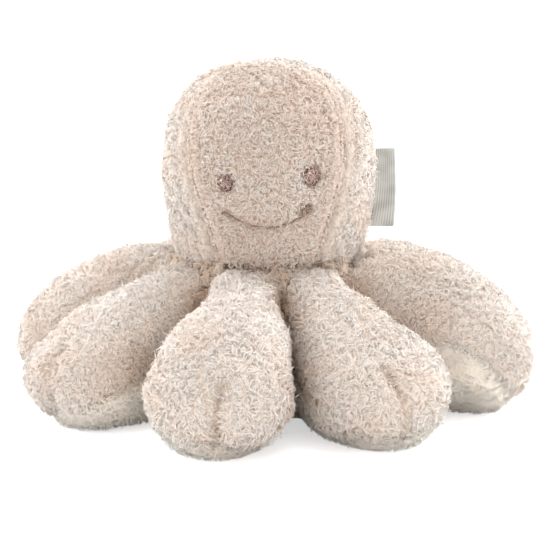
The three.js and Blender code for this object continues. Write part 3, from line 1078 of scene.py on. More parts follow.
    def build(self, fleece: TeddyFleece, face_fleece: TeddyFleece) -> list[Object]:
        """Builds the panels.

        Args:
            fleece: The finish of the sides and the back.
            face_fleece: The finish of the face, a darker copy of the fleece that is painted shade.

        Returns:
            The pieces.
        """
        finishes = {Slot.FLEECE: fleece, Slot.FACE: face_fleece}
        skins = {slot: finish.backing() for slot, finish in finishes.items()}
        piles = {slot: finish.pile() for slot, finish in finishes.items()}
        pieces = []
        for number, panel in enumerate(self.panels()):
            skin = self.skin(panel)
            shell = skin.piece(f"{panel.name}_fleece", self.backing, skins[panel.slot])
            pile, height = Pile(seed=100 + 40 * number), self.pile_height
            if panel.slot is Slot.FACE:
                pile = replace(pile, length=self.face_length, softness=self.face_softness)
                height = self.face_pile_height
            grown = pile.grow(f"{panel.name}_fleece_pile", skin, piles[panel.slot], height, self.pile_painted_light_and_shade)
            piece = join(shell, grown)
            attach(piece, "body")
            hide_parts(panel.node)
            pieces.append(piece)
        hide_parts("head_filling")
        return pieces


# The legs


@dataclass(frozen=True)
class Station:
    """A leg's section at a place along it, as shares of the leg's spans, and its seam's angle."""

    along: float
    wide: float
    top: float
    equator: float
    power: float
    foot: float
    seam: float


LEG_STATIONS = (
    Station(0.0, 0.0, LEG_ROOT_TOP / LEG_HIGH, 0.0, 0.0, 1.0, 6.0),
    Station(0.24, 0.17, 0.98, 0.32, 0.9, 0.4, 6.0),
    Station(0.5, 0.45, 0.965, 0.68, 1.0, 0.0, 8.0),
    Station(0.78, 0.8, 0.93, 0.93, 1.0, 0.0, 16.0),
    Station(1.0, 1.0, 0.87, 0.97, 1.0, 0.0, 28.0),
)


@dataclass(frozen=True)
class Lie:
    """How one leg lies: its reach, crest and toe height as shares, its bow, sway, roll and dart.

    The sole's seam is raised on the leg's left by the seam tilt, and lies at the nose seam at the toe.
    """

    name: str
    reach: float
    crest: float
    toe_top: float
    bow: float
    sway: float
    roll: float
    dart: float = 0.0
    seam_tilt: float = 0.0
    nose_seam: float = 48.0


LIES = (
    Lie("leg_1", 1.02, 0.97, 0.93, 0.11, 0.15, -6.0, dart=7.0, seam_tilt=24.0, nose_seam=54.0),
    Lie("leg_2", 1.01, 1.01, 0.74, -0.07, 0.06, 6.0, dart=-5.5, seam_tilt=-20.0, nose_seam=54.0),
    Lie("leg_3", 1.055, 1.06, 1.0, 0.0, 0.06, -42.0, seam_tilt=-8.0, nose_seam=54.0),
    Lie("leg_4", 1.0, 1.0, 1.0, 0.0, 0.0, 0.0),
    Lie("leg_5", 0.98, 1.0, 0.98, 0.0, 0.04, 0.0),
    Lie("leg_6", 1.0, 1.0, 1.02, 0.0, -0.04, 0.0),
    Lie("leg_7", 1.04, 1.03, 0.92, 0.0, 0.02, 8.0),
    Lie("leg_8", 1.0, 0.97, 0.83, 0.0, -0.06, 4.0, dart=11.0, seam_tilt=-8.0, nose_seam=55.0),
)


@dataclass
class Leg:
    """One leg: a fleece cover sewn to a velour sole over its stuffing."""

    lie: Lie
    number: int
    root: float = BASE_APOTHEM + 0.3
    reach: float = LEG_REACH
    toe_radius: float = TOE_SHARE * LEG_REACH
    root_half: float = 18.1
    root_foot: float = 8.0
    root_equator: float = 52.0
    toe_equator: float = 24.0
    root_top: float = LEG_ROOT_TOP
    high: float = LEG_HIGH
    nose_drop: float = 16.0
    root_power: float = 0.52
    power: float = 0.9
    flat_angle: float = 60.0
    seam_least: float = 4.0
    floor_cut: float = 0.5
    skin_depth: float = 3.0
    sole_depth: float = 0.5
    tuck: float = 3.0
    tuck_angle: float = 9.0
    backing: float = 1.0
    seam_groove: float = 0.8
    seam_width: float = 2.0
    dart_depth: float = 3.8
    dart_width: float = 2.2
    dart_low: float = 14.0
    dart_high: float = 33.0
    dart_fade: float = 5.0
    dart_clear: float = 7.0
    wave: float = 0.7
    wave_size: float = 24.0
    dart_at: float = 0.9
    dart_short: float = 0.5
    # Painted light and shade in the pile's colour: painted shade in the dart, against the next leg and at
    # the root under the head, and painted light on the crest.
    dart_painted_shade: float = 0.62
    gap_painted_shade: float = 0.45
    slit_painted_shade: float = 0.35
    root_painted_shade: float = 0.3
    crest_painted_light: float = 0.5
    gap: Pair = (17.0, 8.0)
    slit: Pair = (7.0, 2.0)
    gap_out: Pair = (122.0, 92.0)
    gap_z: Pair = (74.0, 60.0)
    root_out: Pair = (58.0, 50.0)
    crest_z: Pair = (30.0, 54.0)
    crest_out: Pair = (54.0, 70.0)
    pressed: float = 3.0
    nap: dict[str, float] = field(
        default_factory=lambda: {"per_mm2": 1.2, "length": 3.6, "lock_size": 9.0, "droop": 0.1}
    )
    blend_start: float = 45.0
    blend_end: float = 78.0
    blend_z: float = 40.0
    side_columns: int = 30
    toe_columns: int = 46
    cover_rows: int = 32
    sole_rows: int = 14
    wave_seed: int = 60
    pile_seed: int = 1000
    nap_seed: int = 3000
    seed_step: int = 50

    def degrees(self) -> float:
        """The leg's way from the front."""
        return RING_TURN + self.number * 360 / LEG_COUNT

    def columns(self, depth: float) -> dict[str, Array]:
        """The leg's outline at a depth, from its root along the left edge, round the toe and back.

        Args:
            depth: How far the surface lies under the pile's tips.

        Returns:
            For each column: where it closes and stands along the leg, its half width, its top, its
            equator, its foot, its section's power, how far ahead on the toe it is, and its seam's angle.
        """
        knots = np.array([s.along for s in LEG_STATIONS])
        at = np.linspace(0, 1, self.side_columns + 1)

        def line(name: str, level: bool = False) -> Array:
            return eased(at, knots, np.array([getattr(s, name) for s in LEG_STATIONS]), level)

        toe_centre = self.reach * self.lie.reach - self.toe_radius
        out = mix(self.root, toe_centre, at)
        side = {
            "middle": out,
            "out": out,
            "half": mix(self.root_half, self.toe_radius, line("wide", True)) - depth,
            "top": self.high * line("top") * self.height_share(at) - depth,
            "equator": mix(self.root_equator, self.toe_equator, line("equator", True)),
            "foot": self.root_foot * np.clip(line("foot"), 0, 1) + depth,
            "power": mix(self.root_power, self.power, np.clip(line("power", True), 0, 1)),
            "ahead": np.zeros_like(at),
            "seam": line("seam"),
        }
        angle = np.pi * np.arange(1, self.toe_columns) / self.toe_columns - np.pi / 2
        ahead = np.cos(angle)
        toe = {name: np.full_like(ahead, values[-1]) for name, values in side.items()}
        toe["out"] = side["out"][-1] + side["half"][-1] * ahead
        toe["half"] = side["half"][-1] * np.sin(angle)
        toe["ahead"] = ahead
        toe["equator"] = mix(side["equator"][-1], self.toe_equator, ahead)
        tilted = mix(side["seam"][-1], self.lie.nose_seam, ahead) + self.lie.seam_tilt * np.sin(angle)
        toe["seam"] = np.minimum(tilted, self.flat_angle - self.seam_least)
        left = {**side, "half": -side["half"], "seam": side["seam"] - self.lie.seam_tilt * at}
        right = {**side, "seam": side["seam"] + self.lie.seam_tilt * at}
        return {name: np.concatenate([left[name], toe[name], right[name][::-1]]) for name in side}

    def height_share(self, along: Array) -> Array:
        """How high the leg's top is along it, as a share of the usual."""
        return mix(1, self.lie.toe_top, along) + (self.lie.crest - 1) * 4 * along * (1 - along)

    def sideways(self, along: Array | float) -> Array | float:
        """How far the leg's middle lies to the right of its straight line."""
        return self.toe_radius * (self.lie.bow * 4 * along * (1 - along) + self.lie.sway * along**2)

    def section(self, column: dict[str, Array], angle: Array) -> Trio:
        """The leg's own points at angles above the equator.

        Args:
            column: The columns.
            angle: The angles in degrees, a row for each column.

        Returns:
            How far out, how far to the side and how high each point is.
        """
        c = {name: values[:, None] for name, values in column.items()}
        across = np.cos(np.radians(angle)).clip(0) ** c["power"]
        up = np.abs(np.sin(np.radians(angle))) ** c["power"]
        top = c["top"] - self.nose_drop * c["ahead"] * across
        rise = np.sin(np.radians(self.flat_angle)) ** c["power"]
        toward = np.clip((-angle - c["seam"]) / (self.flat_angle - c["seam"]), 0, 1)
        down = np.minimum(up + (1 - rise) * toward**2, 1)
        z = np.where(angle > 0, mix(c["equator"], top, up), mix(c["equator"], c["foot"], down))
        return mix(c["middle"], c["out"], across), c["half"] * across, z

    def rolled(self, out: Array) -> Trio:
        """How the leg is rolled along its length.

        Args:
            out: How far out the places are.

        Returns:
            Their share of the way to the toe, how far they are rolled, and their middle's height.
        """
        along = np.clip((out - self.root) / (self.reach - self.toe_radius - self.root), 0, 1)
        middle = mix((self.root_top + self.root_foot) / 2, self.toe_radius, along)
        return along, np.radians(self.lie.roll) * along, middle

    def placed(self, out: Array, side: Array, z: Array, lift: float, floor: float) -> Array:
        """Turns the leg's own points to their place in the ring, with its sway and roll."""
        along, turn, middle = self.rolled(out)
        swung = side * np.cos(turn) - (z - middle) * np.sin(turn) + self.sideways(along)
        raised = side * np.sin(turn) + (z - middle) * np.cos(turn) + middle + lift * along
        placed = around(self.degrees(), out, np.maximum(raised, floor))
        return placed + around(self.degrees() + 90, swung, 0.0)

    def lift(self) -> float:
        """How far a rolled leg's toe is raised, so that it lies on the floor."""
        column = self.columns(0.0)
        angle = np.broadcast_to(np.linspace(-90, 90, 61), (len(column["out"]), 61))
        lowest = self.placed(*self.section(column, angle), 0.0, -math.inf)[..., 2].min()
        return max(-lowest - self.floor_cut, 0.0)

    def grid(self, depth: float, cover: bool) -> Array:
        """A grid of points on the leg, with a row at the seam that is tucked in.

        Args:
            depth: How far it lies under the pile's tips.
            cover: Whether it is the cover, from the seam up, or the sole, up to the seam.

        Returns:
            Columns round the leg, each with rows upwards.
        """

        def rows(at: float, share: Array, beyond: float) -> Array:
            column = self.columns(at)
            seam = -column["seam"][:, None] + beyond
            angle = mix(seam, 90.0, share[None]) if cover else mix(-90.0, seam, share[None])
            return self.placed(*self.section(column, angle), self.lift(), depth)

        flat = rows(depth, np.linspace(0, 1, (self.cover_rows if cover else self.sole_rows) + 1), 0.0)
        past = -self.tuck_angle if cover else self.tuck_angle
        tucked = rows(depth + self.tuck, np.array([0.0 if cover else 1.0]), past)
        return np.concatenate([tucked, flat] if cover else [flat, tucked], 1)

    def own(self, points: Array) -> Trio:
        """How far out, how far right of its middle and how high points are on the leg before its roll."""
        out = points @ around(self.degrees(), 1.0, 0.0)
        along, turn, middle = self.rolled(out)
        swung = points @ around(self.degrees() + 90, 1.0, 0.0) - self.sideways(along)
        raised = points[:, 2] - self.lift() * along - middle
        side = swung * np.cos(turn) + raised * np.sin(turn)
        return out, side, raised * np.cos(turn) - swung * np.sin(turn) + middle

    def dart(self, points: Array) -> Array:
        """How near points lie to the dart on the toe, from 0 to 1."""
        out, side, z = self.own(points)
        ahead = out > self.reach * self.lie.reach - self.toe_radius * self.dart_at
        beyond = np.clip(self.dart_low - z, 0, None) + np.clip(z - self.dart_high, 0, None)
        near = bell(side - self.lie.dart, self.dart_width) * bell(beyond, self.dart_fade)
        return np.where(ahead, near, 0.0)

    def pile_painted_light_and_shade(self, roots: Array) -> Array:
        """The pile's painted light and shade: painted shade in the dart, against the next leg and at the
        root under the head, and painted light on the crest.
        """
        out, side, z = self.own(roots)
        # painted shade against the next leg, in the dart and at the root under the head, and painted light
        # on the crest
        gap = np.hypot(out, side) * np.sin(math.pi / LEG_COUNT - np.abs(np.arctan2(side, out)))
        near = self.gap_painted_shade * rising(gap, *self.gap) + self.slit_painted_shade * rising(gap, *self.slit)
        near = near * rising(out, *self.gap_out) * rising(z, *self.gap_z)
        under = self.root_painted_shade * rising(out, *self.root_out)
        deep = np.maximum(self.dart_painted_shade * self.dart(roots), np.maximum(near, under))
        crest = rising(z, *self.crest_z) * rising(out, *self.crest_out)
        return deep - self.crest_painted_light * crest * (1 - deep)

    def skin(self, depth: float, cover: bool) -> Skin:
        """The cover's or the sole's skin, drawn in along its seam and at its dart.

        Args:
            depth: How far it lies under the pile's tips.
            cover: Whether it is the cover.

        Returns:
            The skin.
        """
        grid = self.grid(depth, cover)
        steps = np.linalg.norm(np.diff(grid[:, 1:] if cover else grid[:, -2::-1], axis=1), axis=-1)
        away = np.concatenate([np.zeros((len(grid), 1)), np.cumsum(steps, 1)], 1)
        away = np.concatenate([away[:, :1], away] if cover else [away[:, ::-1], away[:, :1]], 1)
        skin = Skin.from_grid(grid)
        away = away.reshape(-1)[skin.places]
        drawn = -self.seam_groove * bell(away, self.seam_width)
        if cover:
            drawn = drawn - self.dart_depth * self.dart(skin.points) * np.clip(away / self.dart_clear, 0, 1)
            drawn = drawn + self.wave * Waves(self.wave_size, self.wave_seed + self.number).at(skin.points)
        return skin.raised(drawn)

    def cover_height(self, roots: Array) -> Array:
        """The fleece's pile length as a share: half in the dart."""
        return 1 - self.dart_short * self.dart(roots)

    def sole_height(self, roots: Array) -> Array:
        """The velour's pile length as a share: pressed flat where the leg lies on the floor."""
        return np.sqrt(rising(roots[:, 2], self.sole_depth, self.sole_depth + self.pressed))

    def build(
        self,
        cover: tuple[Material, Material],
        sole: tuple[Material, Material],
    ) -> list[Object]:
        """Builds the cover and the sole.

        Args:
            cover: The fleece's backing and its pile.
            sole: The velour and its nap's fringe.

        Returns:
            The pieces.
        """
        name = self.lie.name
        upper = self.skin(self.skin_depth, cover=True)
        shell = upper.piece(f"{name}_fleece", self.backing, cover[0])
        pile = Pile(seed=self.pile_seed + self.seed_step * self.number)
        top = join(shell, pile.grow(f"{name}_pile", upper, cover[1], self.cover_height, self.pile_painted_light_and_shade))
        lower = self.skin(self.sole_depth, cover=False)
        under = lower.piece(f"{name}_velour", self.backing, sole[0])
        nap = Pile(seed=self.nap_seed + self.seed_step * self.number, **self.nap)
        under = join(under, nap.grow(f"{name}_nap", lower, sole[1], self.sole_height))
        start = around(self.degrees(), self.blend_start, self.blend_z) * MM
        end = around(self.degrees(), self.blend_end, self.blend_z) * MM
        for piece, slot, nodes in (
            (top, Slot.FLEECE, (f"{name}_cover", f"{name}_filling")),
            (under, Slot.SOLE, (f"{name}_sole",)),
        ):
            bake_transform(piece)
            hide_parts(*nodes)
        return [top, under]


# The base


@dataclass
class Base:
    """The fleece band round the base, and the velour disc under it."""

    foot_z: float = 2.3
    chamfer: float = 3.0
    shoulder_z: float = 60.0
    top_apothem: float = 38.0
    rim_gap: float = 0.3
    skin_depth: float = 1.6
    rows: int = 12
    disc_thickness: float = 2.0
    disc_inset: float = 3.0
    disc_edge: float = 0.8
    backing: float = 1.0
    pile_length: float = 6.5
    open_half: float = 12.0
    open_more: float = 6.0
    longer: float = 0.35
    high_z: Pair = (48.0, 60.0)
    # Painted light and shade: the foot's pile is paled as painted light, and the band between the legs
    # under the head takes painted shade.
    deep_z: Pair = (16.0, 36.0)
    foot_painted_light: float = -0.8
    band_painted_shade: float = 0.55
    pile_seed: int = 7000

    def band(self, backing: Material, pile: Material) -> Object:
        """Builds the band, a prism with a side for each leg."""
        top_z = HEAD_RIM_Z - self.rim_gap
        knots = np.array([self.foot_z, self.foot_z + self.chamfer, self.shoulder_z, top_z])
        apothems = np.array([BASE_APOTHEM - self.chamfer, BASE_APOTHEM, BASE_APOTHEM, self.top_apothem])
        z = np.linspace(knots[0], knots[-1], self.rows + 1)
        apothem = np.interp(z, knots, apothems) - self.skin_depth
        degrees = RING_TURN + 180 / LEG_COUNT + np.arange(0, 4 * LEG_COUNT + 1) * 360 / (4 * LEG_COUNT)
        within = (degrees - RING_TURN + 180 / LEG_COUNT) % (360 / LEG_COUNT) - 180 / LEG_COUNT
        stretch = 1 / np.cos(np.radians(within))
        grid = around(degrees[:, None], apothem[None] * stretch[:, None], z[None])
        skin = Skin.from_grid(grid)
        shell = skin.piece("base_fleece", self.backing, backing)
        locks = Pile(length=self.pile_length, seed=self.pile_seed)
        return join(shell, locks.grow("base_pile", skin, pile, self.pile_height, self.pile_painted_light_and_shade))

    def pile_height(self, roots: Array) -> Array:
        """The pile's length as a share: none behind the legs, and long between two, under the head."""
        turn = turn_of(roots) - RING_TURN
        between = np.abs((turn % (360 / LEG_COUNT)) - 180 / LEG_COUNT)
        high = rising(roots[:, 2], *self.high_z)
        return np.where(between < self.open_half + self.open_more * high, 1 + self.longer * high, 0.0)

    def pile_painted_light_and_shade(self, roots: Array) -> Array:
        """The pile's painted light and shade: painted shade where it lies between the legs under the head,
        fading to painted light at the foot.
        """
        return mix(self.foot_painted_light, self.band_painted_shade, rising(roots[:, 2], *self.deep_z))

    def disc(self, velour: Material) -> Object:
        """Builds the disc: an eight-sided pad with a rounded, stitched-down edge."""
        deselect_all()
        corner = BASE_APOTHEM / math.cos(math.pi / LEG_COUNT)
        bpy.ops.mesh.primitive_cylinder_add(
            vertices=LEG_COUNT,
            radius=corner * MM,
            depth=self.disc_thickness * MM,
            location=(0, 0, self.disc_thickness / 2 * MM),
            rotation=(0, 0, math.radians(RING_TURN)),
        )
        disc = bpy.context.object
        disc.name = "base_velour"
        bpy.ops.object.transform_apply(location=True, rotation=True)
        bpy.ops.object.mode_set(mode="EDIT")
        bpy.ops.mesh.select_all(action="SELECT")
        bpy.ops.mesh.inset(thickness=self.disc_inset * MM, depth=0)
        bpy.ops.object.mode_set(mode="OBJECT")
        soft = disc.modifiers.new("edge", "BEVEL")
        soft.width = self.disc_edge * MM
        soft.segments = 3
        bpy.ops.object.modifier_apply(modifier=soft.name)
        bpy.ops.object.shade_smooth_by_angle(angle=math.radians(40))
        disc.data.materials.clear()
        disc.data.materials.append(velour)
        return disc

    def build(
        self, backing: Material, pile: Material, velour: Material
    ) -> list[Object]:
        """Builds the band and the disc, and lets them ride on the body."""
        band = self.band(backing, pile)
        disc = self.disc(velour)
        for piece, slot, nodes in (
            (band, Slot.FLEECE, ("base_band", "base_filling")),
            (disc, Slot.SOLE, ("base_disc",)),
        ):
            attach(piece, "body")
            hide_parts(*nodes)
        return [band, disc]


# The stitched face


def model_stitch(
    straight: float = 0.38, thinned: float = 0.55, flattened: float = 0.5, lowered: float = 0.35
) -> Object:
    """Models one satin stitch: a thread of length 1 and width 1 along X that rounds down at both ends.

    Args:
        straight: How far it runs straight, from its middle.
        thinned: How much of its width its ends lose.
        flattened: How much of its height they lose.
        lowered: How far they lie lower.

    Returns:
        The thread.
    """
    deselect_all()
    bpy.ops.mesh.primitive_cylinder_add(vertices=6, radius=0.5, depth=1.0, rotation=(0, math.pi / 2, 0))
    stitch = bpy.context.object
    while stitch.data.uv_layers:
        stitch.data.uv_layers.remove(stitch.data.uv_layers[0])
    bpy.ops.object.transform_apply(rotation=True)
    bpy.ops.object.mode_set(mode="EDIT")
    for place in (-straight, 0.0, straight):
        bpy.ops.mesh.select_all(action="SELECT")
        bpy.ops.mesh.bisect(plane_co=(place, 0, 0), plane_no=(1, 0, 0))
    bpy.ops.object.mode_set(mode="OBJECT")
    for vertex in stitch.data.vertices:
        end = max(abs(vertex.co.x) - straight, 0) / (0.5 - straight)
        vertex.co.y *= 1 - thinned * end
        vertex.co.z = vertex.co.z * (1 - flattened * end) - lowered * end
    return stitch


@dataclass
class Stitches:
    """Satin stitches, copied from one modelled thread and joined to a piece."""

    thread: Object
    made: list[Object] = field(default_factory=list)
    draw: np.random.Generator = field(default_factory=lambda: np.random.default_rng(77))

    def lay(
        self,
        middle: Array,
        along: Array,
        out: Array,
        long: float,
        wide: float,
        shade: float | None = None,
    ) -> None:
        """Lays one stitch.

        Args:
            middle: Its middle, in millimetres.
            along: The way it runs.
            out: The way out of the fabric.
            long: Its length.
            wide: Its width.
            shade: Its shade from 0, deep, to 1, bright, or nothing for one that is drawn.
        """
        x = along / np.linalg.norm(along)
        y = np.cross(out, x)
        y /= np.linalg.norm(y)
        z = np.cross(x, y)
        copy = self.thread.copy()
        copy.data = self.thread.data.copy()
        bpy.context.scene.collection.objects.link(copy)
        co = np.array([v.co for v in copy.data.vertices])
        placed = middle + co[:, :1] * x * long + co[:, 1:2] * y * wide + co[:, 2:] * z * wide
        copy.data.vertices.foreach_set("co", (placed * MM).astype(np.float32).ravel())
        shade = self.draw.uniform() if shade is None else shade
        corner = np.array([loop.vertex_index for loop in copy.data.loops])
        set_map(copy.data, "thread", np.stack([np.full(len(corner), shade), co[corner, 0] + 0.5], -1))
        copy.data.update()
        self.made.append(copy)

    def piece(self, name: str, material: Material) -> Object:
        """Joins the stitches that were laid to one piece."""
        first = self.made[0]
        first.name = name
        piece = join(first, *self.made[1:])
        piece.data.materials.clear()
        piece.data.materials.append(material)
        bpy.ops.object.shade_smooth()
        self.made = []
        return piece


@dataclass
class FaceStitching:
    """The eyes, their glints and the smile."""

    face: Face
    thread_width: float = 0.5
    short_stitch: float = 1.5
    stitch_step: float = 0.75
    stitch_lengths: Pair = (0.7, 1.3)
    wander: float = 0.2
    crown: float = 0.5
    crown_uneven: Pair = (-0.15, 0.2)
    underlay_deep: float = 0.35
    underlay_width: float = 1.5
    underlay_step: float = 1.3
    bright: float = 0.88
    # painted shade: the stitches darken towards the rim of an eye or tick and on one side of it
    rim_painted_shade: float = 0.5
    side_painted_shade: float = 0.35
    painted_shade_turn: dict[Side, float] = field(default_factory=lambda: {Side.LEFT: -135.0, Side.RIGHT: -30.0})
    uneven: float = 0.22
    least_bright: float = 0.05
    tick_raise: float = 0.5
    glint_width: float = 0.5
    glint_long: float = 1.2
    glint_raise: float = 1.15
    glint_place: float = 0.2
    glint_lean: float = 0.6
    smile_stitch: float = 3.4
    smile_width: float = 0.8
    smile_widths: Pair = (0.75, 1.15)
    smile_raise: float = 0.4
    smile_uneven: float = 0.12
    smile_slant: float = 0.16
    smile_stitches: int = 26
    draw: np.random.Generator = field(default_factory=lambda: np.random.default_rng(55))

    def mottled(
        self,
        stitches: Stitches,
        frame: tuple[Array, Array, Array, Array],
        half: Pair,
        shaded_way: float,
    ) -> None:
        """Fills an oval with short stitches that cross each other over an underlay in the thread's deepest
        shade, painted shade where it shows between them, with painted shade at the oval's rim and on one
        side.

        Args:
            stitches: What lays them.
            frame: The oval's middle, and the ways across, up and out.
            half: Half its width and half its height.
            shaded_way: Which way the side with painted shade lies, in radians from across towards up.
        """
        centre, across, up, out = frame
        wide, tall = half
        draw = self.draw
        # the underlay takes the deepest shade, painted shade where it shows between the stitches above
        for place in np.arange(-0.9, 0.91, self.underlay_step * self.thread_width / tall):
            chord = 2 * wide * math.sqrt(1 - place**2)
            middle = centre + up * place * tall - out * self.underlay_deep
            stitches.lay(middle, across, out, chord, self.thread_width * self.underlay_width, 0.0)
        step = self.stitch_step
        for row in np.arange(-tall, tall + step, step):
            for column in np.arange(-wide, wide + step, step):
                x, y = column + draw.normal(0, self.wander), row + draw.normal(0, self.wander)
                rim = math.hypot(x / wide, y / tall)
                if rim > 1.0:
                    continue
                side = math.cos(math.atan2(y / tall, x / wide) - shaded_way)
                # painted shade towards the rim and on the shaded side, over each stitch's own shade drawn
                # at random
                bright = self.bright - self.rim_painted_shade * rim**3 - self.side_painted_shade * rim * max(side, 0)
                bright = max(bright + draw.normal(0, self.uneven), self.least_bright)
                crown = self.crown * (1 - rim**2) + draw.uniform(*self.crown_uneven)
                turn = draw.uniform(0, math.pi)
                along = across * math.cos(turn) + up * math.sin(turn)
                long = self.short_stitch * draw.uniform(*self.stitch_lengths)
                middle = centre + across * x + up * y + out * crown
                stitches.lay(middle, along, out, long, self.thread_width, min(bright, 1.0))

    @staticmethod
    def frame(degrees: float) -> Trio:
        """The ways across, up and out at a place on the face."""
        out = around(degrees, 1.0, 0.0)
        return np.cross([0, 0, 1], out), np.array([0.0, 0.0, 1.0]), out

    def eye(self, side: Side, stitches: Stitches, thread: Material) -> Object:
        """Stitches an eye: short crossed stitches, crowned in the middle, with painted shade at its rim and
        on one side.
        """
        across, up, out = self.frame(self.face.eye_degrees(side))
        centre = self.face.eye_centre(side) - out * self.face.sunk
        width, tall = self.face.eye_size[side]
        shaded_way = math.radians(self.painted_shade_turn[side])
        self.mottled(stitches, (centre, across, up, out), (width / 2, tall / 2), shaded_way)
        return stitches.piece(f"{side.name.lower()}_eye_stitching", thread)

    def glint(self, side: Side, stitches: Stitches, thread: Material) -> Object:
        """Stitches the small light in an eye."""
        across, up, out = self.frame(self.face.eye_degrees(side))
        width, tall = self.face.eye_size[side]
        centre = self.face.eye_centre(side) - out * (self.face.sunk - self.glint_raise)
        centre = centre - across * width * self.glint_place + up * tall * self.glint_place
        along = across * self.glint_lean + up
        for place in (-0.5, 0.5):
            middle = centre + across * place * self.glint_width
            stitches.lay(middle, along, out, self.glint_long, self.glint_width)
        return stitches.piece(f"{side.name.lower()}_eye_glint_stitching", thread)

    def smile(self, stitches: Stitches, thread: Material) -> Object:
        """Stitches the smile in stem stitch: each stitch starts beside the middle of the last."""
        share = (np.arange(self.smile_stitches) + 0.5) / self.smile_stitches
        degrees, z = self.face.smile(share)
        before, after = (on_head(*self.face.smile(share + step)) for step in (-0.01, 0.01))
        for place, back, ahead, turn in zip(on_head(degrees, z), before, after, degrees):
            out = self.frame(turn)[2]
            along = unit(ahead - back)
            slant = np.cross(out, along)
            depth = self.face.sunk - self.smile_raise + self.draw.normal(0, self.smile_uneven)
            wide = self.smile_width * self.draw.uniform(*self.smile_widths)
            along = along + slant * self.smile_slant
            stitches.lay(place - out * depth, along, out, self.smile_stitch, wide)
        return stitches.piece("smile_stitching", thread)

    def tick(self, side: Side, stitches: Stitches, thread: Material) -> Object:
        """Stitches the short thick stroke at an end of the smile: flat on the left, rising on the right."""
        (start, low), (end, high) = self.face.tick[side]
        turn, z = (start + end) / 2, (low + high) / 2
        across, up, out = self.frame(turn)
        middle = on_head(turn, z) - out * (self.face.sunk - self.tick_raise)
        along = across * math.radians(end - start) * HEAD_RADIUS + up * (high - low)
        half = np.linalg.norm(along) / 2
        along = along / (2 * half)
        beside = np.cross(out, along)
        self.mottled(stitches, (middle, along, beside, out), (half, self.face.tick_half[side]), 0.0)
        return stitches.piece(f"smile_{side.name.lower()}_tick_stitching", thread)

    def build(self, eye: Embroidery, glint: Embroidery, smile: Embroidery) -> list[Object]:
        """Builds all the stitching.

        Args:
            eye: The eyes' thread.
            glint: The glints' thread.
            smile: The smile's thread.

        Returns:
            The pieces.
        """
        stitches = Stitches(model_stitch())
        yarns = {Slot.EYE: eye, Slot.GLINT: glint, Slot.SMILE: smile}
        threads = {slot: yarn.material() for slot, yarn in yarns.items()}
        made = []
        for side in Side:
            word = side.name.lower()
            made += [
                (self.eye(side, stitches, threads[Slot.EYE]), Slot.EYE, f"{word}_eye"),
                (self.glint(side, stitches, threads[Slot.GLINT]), Slot.GLINT, f"{word}_eye_glint"),
                (self.tick(side, stitches, threads[Slot.SMILE]), Slot.SMILE, f"smile_{word}_tick"),
            ]
        made.append((self.smile(stitches, threads[Slot.SMILE]), Slot.SMILE, "smile"))
        bpy.data.objects.remove(stitches.thread)
        for piece, slot, node in made:
            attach(piece, "body")
            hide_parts(node)
        return [piece for piece, _, _ in made]


# The label


@dataclass
class Label:
    """The bare satin loop in the right side seam."""

    low_z: float = 86.6
    tall: float = 39.0
    out: float = 9.2
    bow: float = 0.8
    gap: float = 0.7
    wave: float = 0.35
    thickness: float = 0.35
    tucked: float = 1.6
    rows: int = 26
    steps: int = 9

    def points(self) -> Array:
        """The ribbon's middle, half way through its thickness.

        Returns:
            A grid from the bottom up, each line of it out from the seam, round the fold and back.
        """
        rise = np.linspace(0, 1, self.rows + 1)[:, None]
        z = self.low_z + rise * self.tall
        inner = head_radius(z) - self.tucked
        fold = HEAD_RADIUS + self.out + self.bow * (1 - (2 * rise - 1) ** 2) - self.gap
        run = np.linspace(0, 1, self.steps)[None]
        straight = mix(inner, fold, run)
        turn = np.linspace(np.pi / 2, -np.pi / 2, self.steps)[None, 1:-1]
        out = np.concatenate([straight, fold + self.gap * np.cos(turn), straight[:, ::-1]], 1)
        opened = self.gap * np.sin(run * np.pi / 2)
        side = np.concatenate([opened, self.gap * np.sin(turn), -opened[:, ::-1]], 1)
        side = side + self.wave * np.sin(rise * 2 * np.pi) * (out - inner) / self.out
        return around(SIDE_SEAM, out, z) + around(SIDE_SEAM - 90, side, 0.0)

    def build(self, ribbon: SatinRibbon) -> Object:
        """Builds the loop.

        Args:
            ribbon: Its finish.

        Returns:
            The piece.
        """
        points = self.points()
        faces = grid_faces(*points.shape[:2])
        steps = np.linalg.norm(np.diff(points[self.rows // 2], axis=0), axis=-1)
        mesh = bpy.data.meshes.new("label_ribbon")
        mesh.from_pydata((points.reshape(-1, 3) * MM).tolist(), [], faces.tolist())
        along = np.broadcast_to(np.concatenate([[0], np.cumsum(steps)]), points.shape[:2])
        set_map(mesh, "ribbon", np.stack([along, points[..., 2]], -1).reshape(-1, 2)[faces.ravel()])
        piece = new_piece("label_ribbon", mesh)
        thicken(piece, self.thickness, offset=0.0)
        bpy.ops.object.shade_smooth_by_angle(angle=math.radians(50))
        mesh.materials.append(ribbon.material())
        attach(piece, "label")
        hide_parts("side_label")
        return piece


# The studio


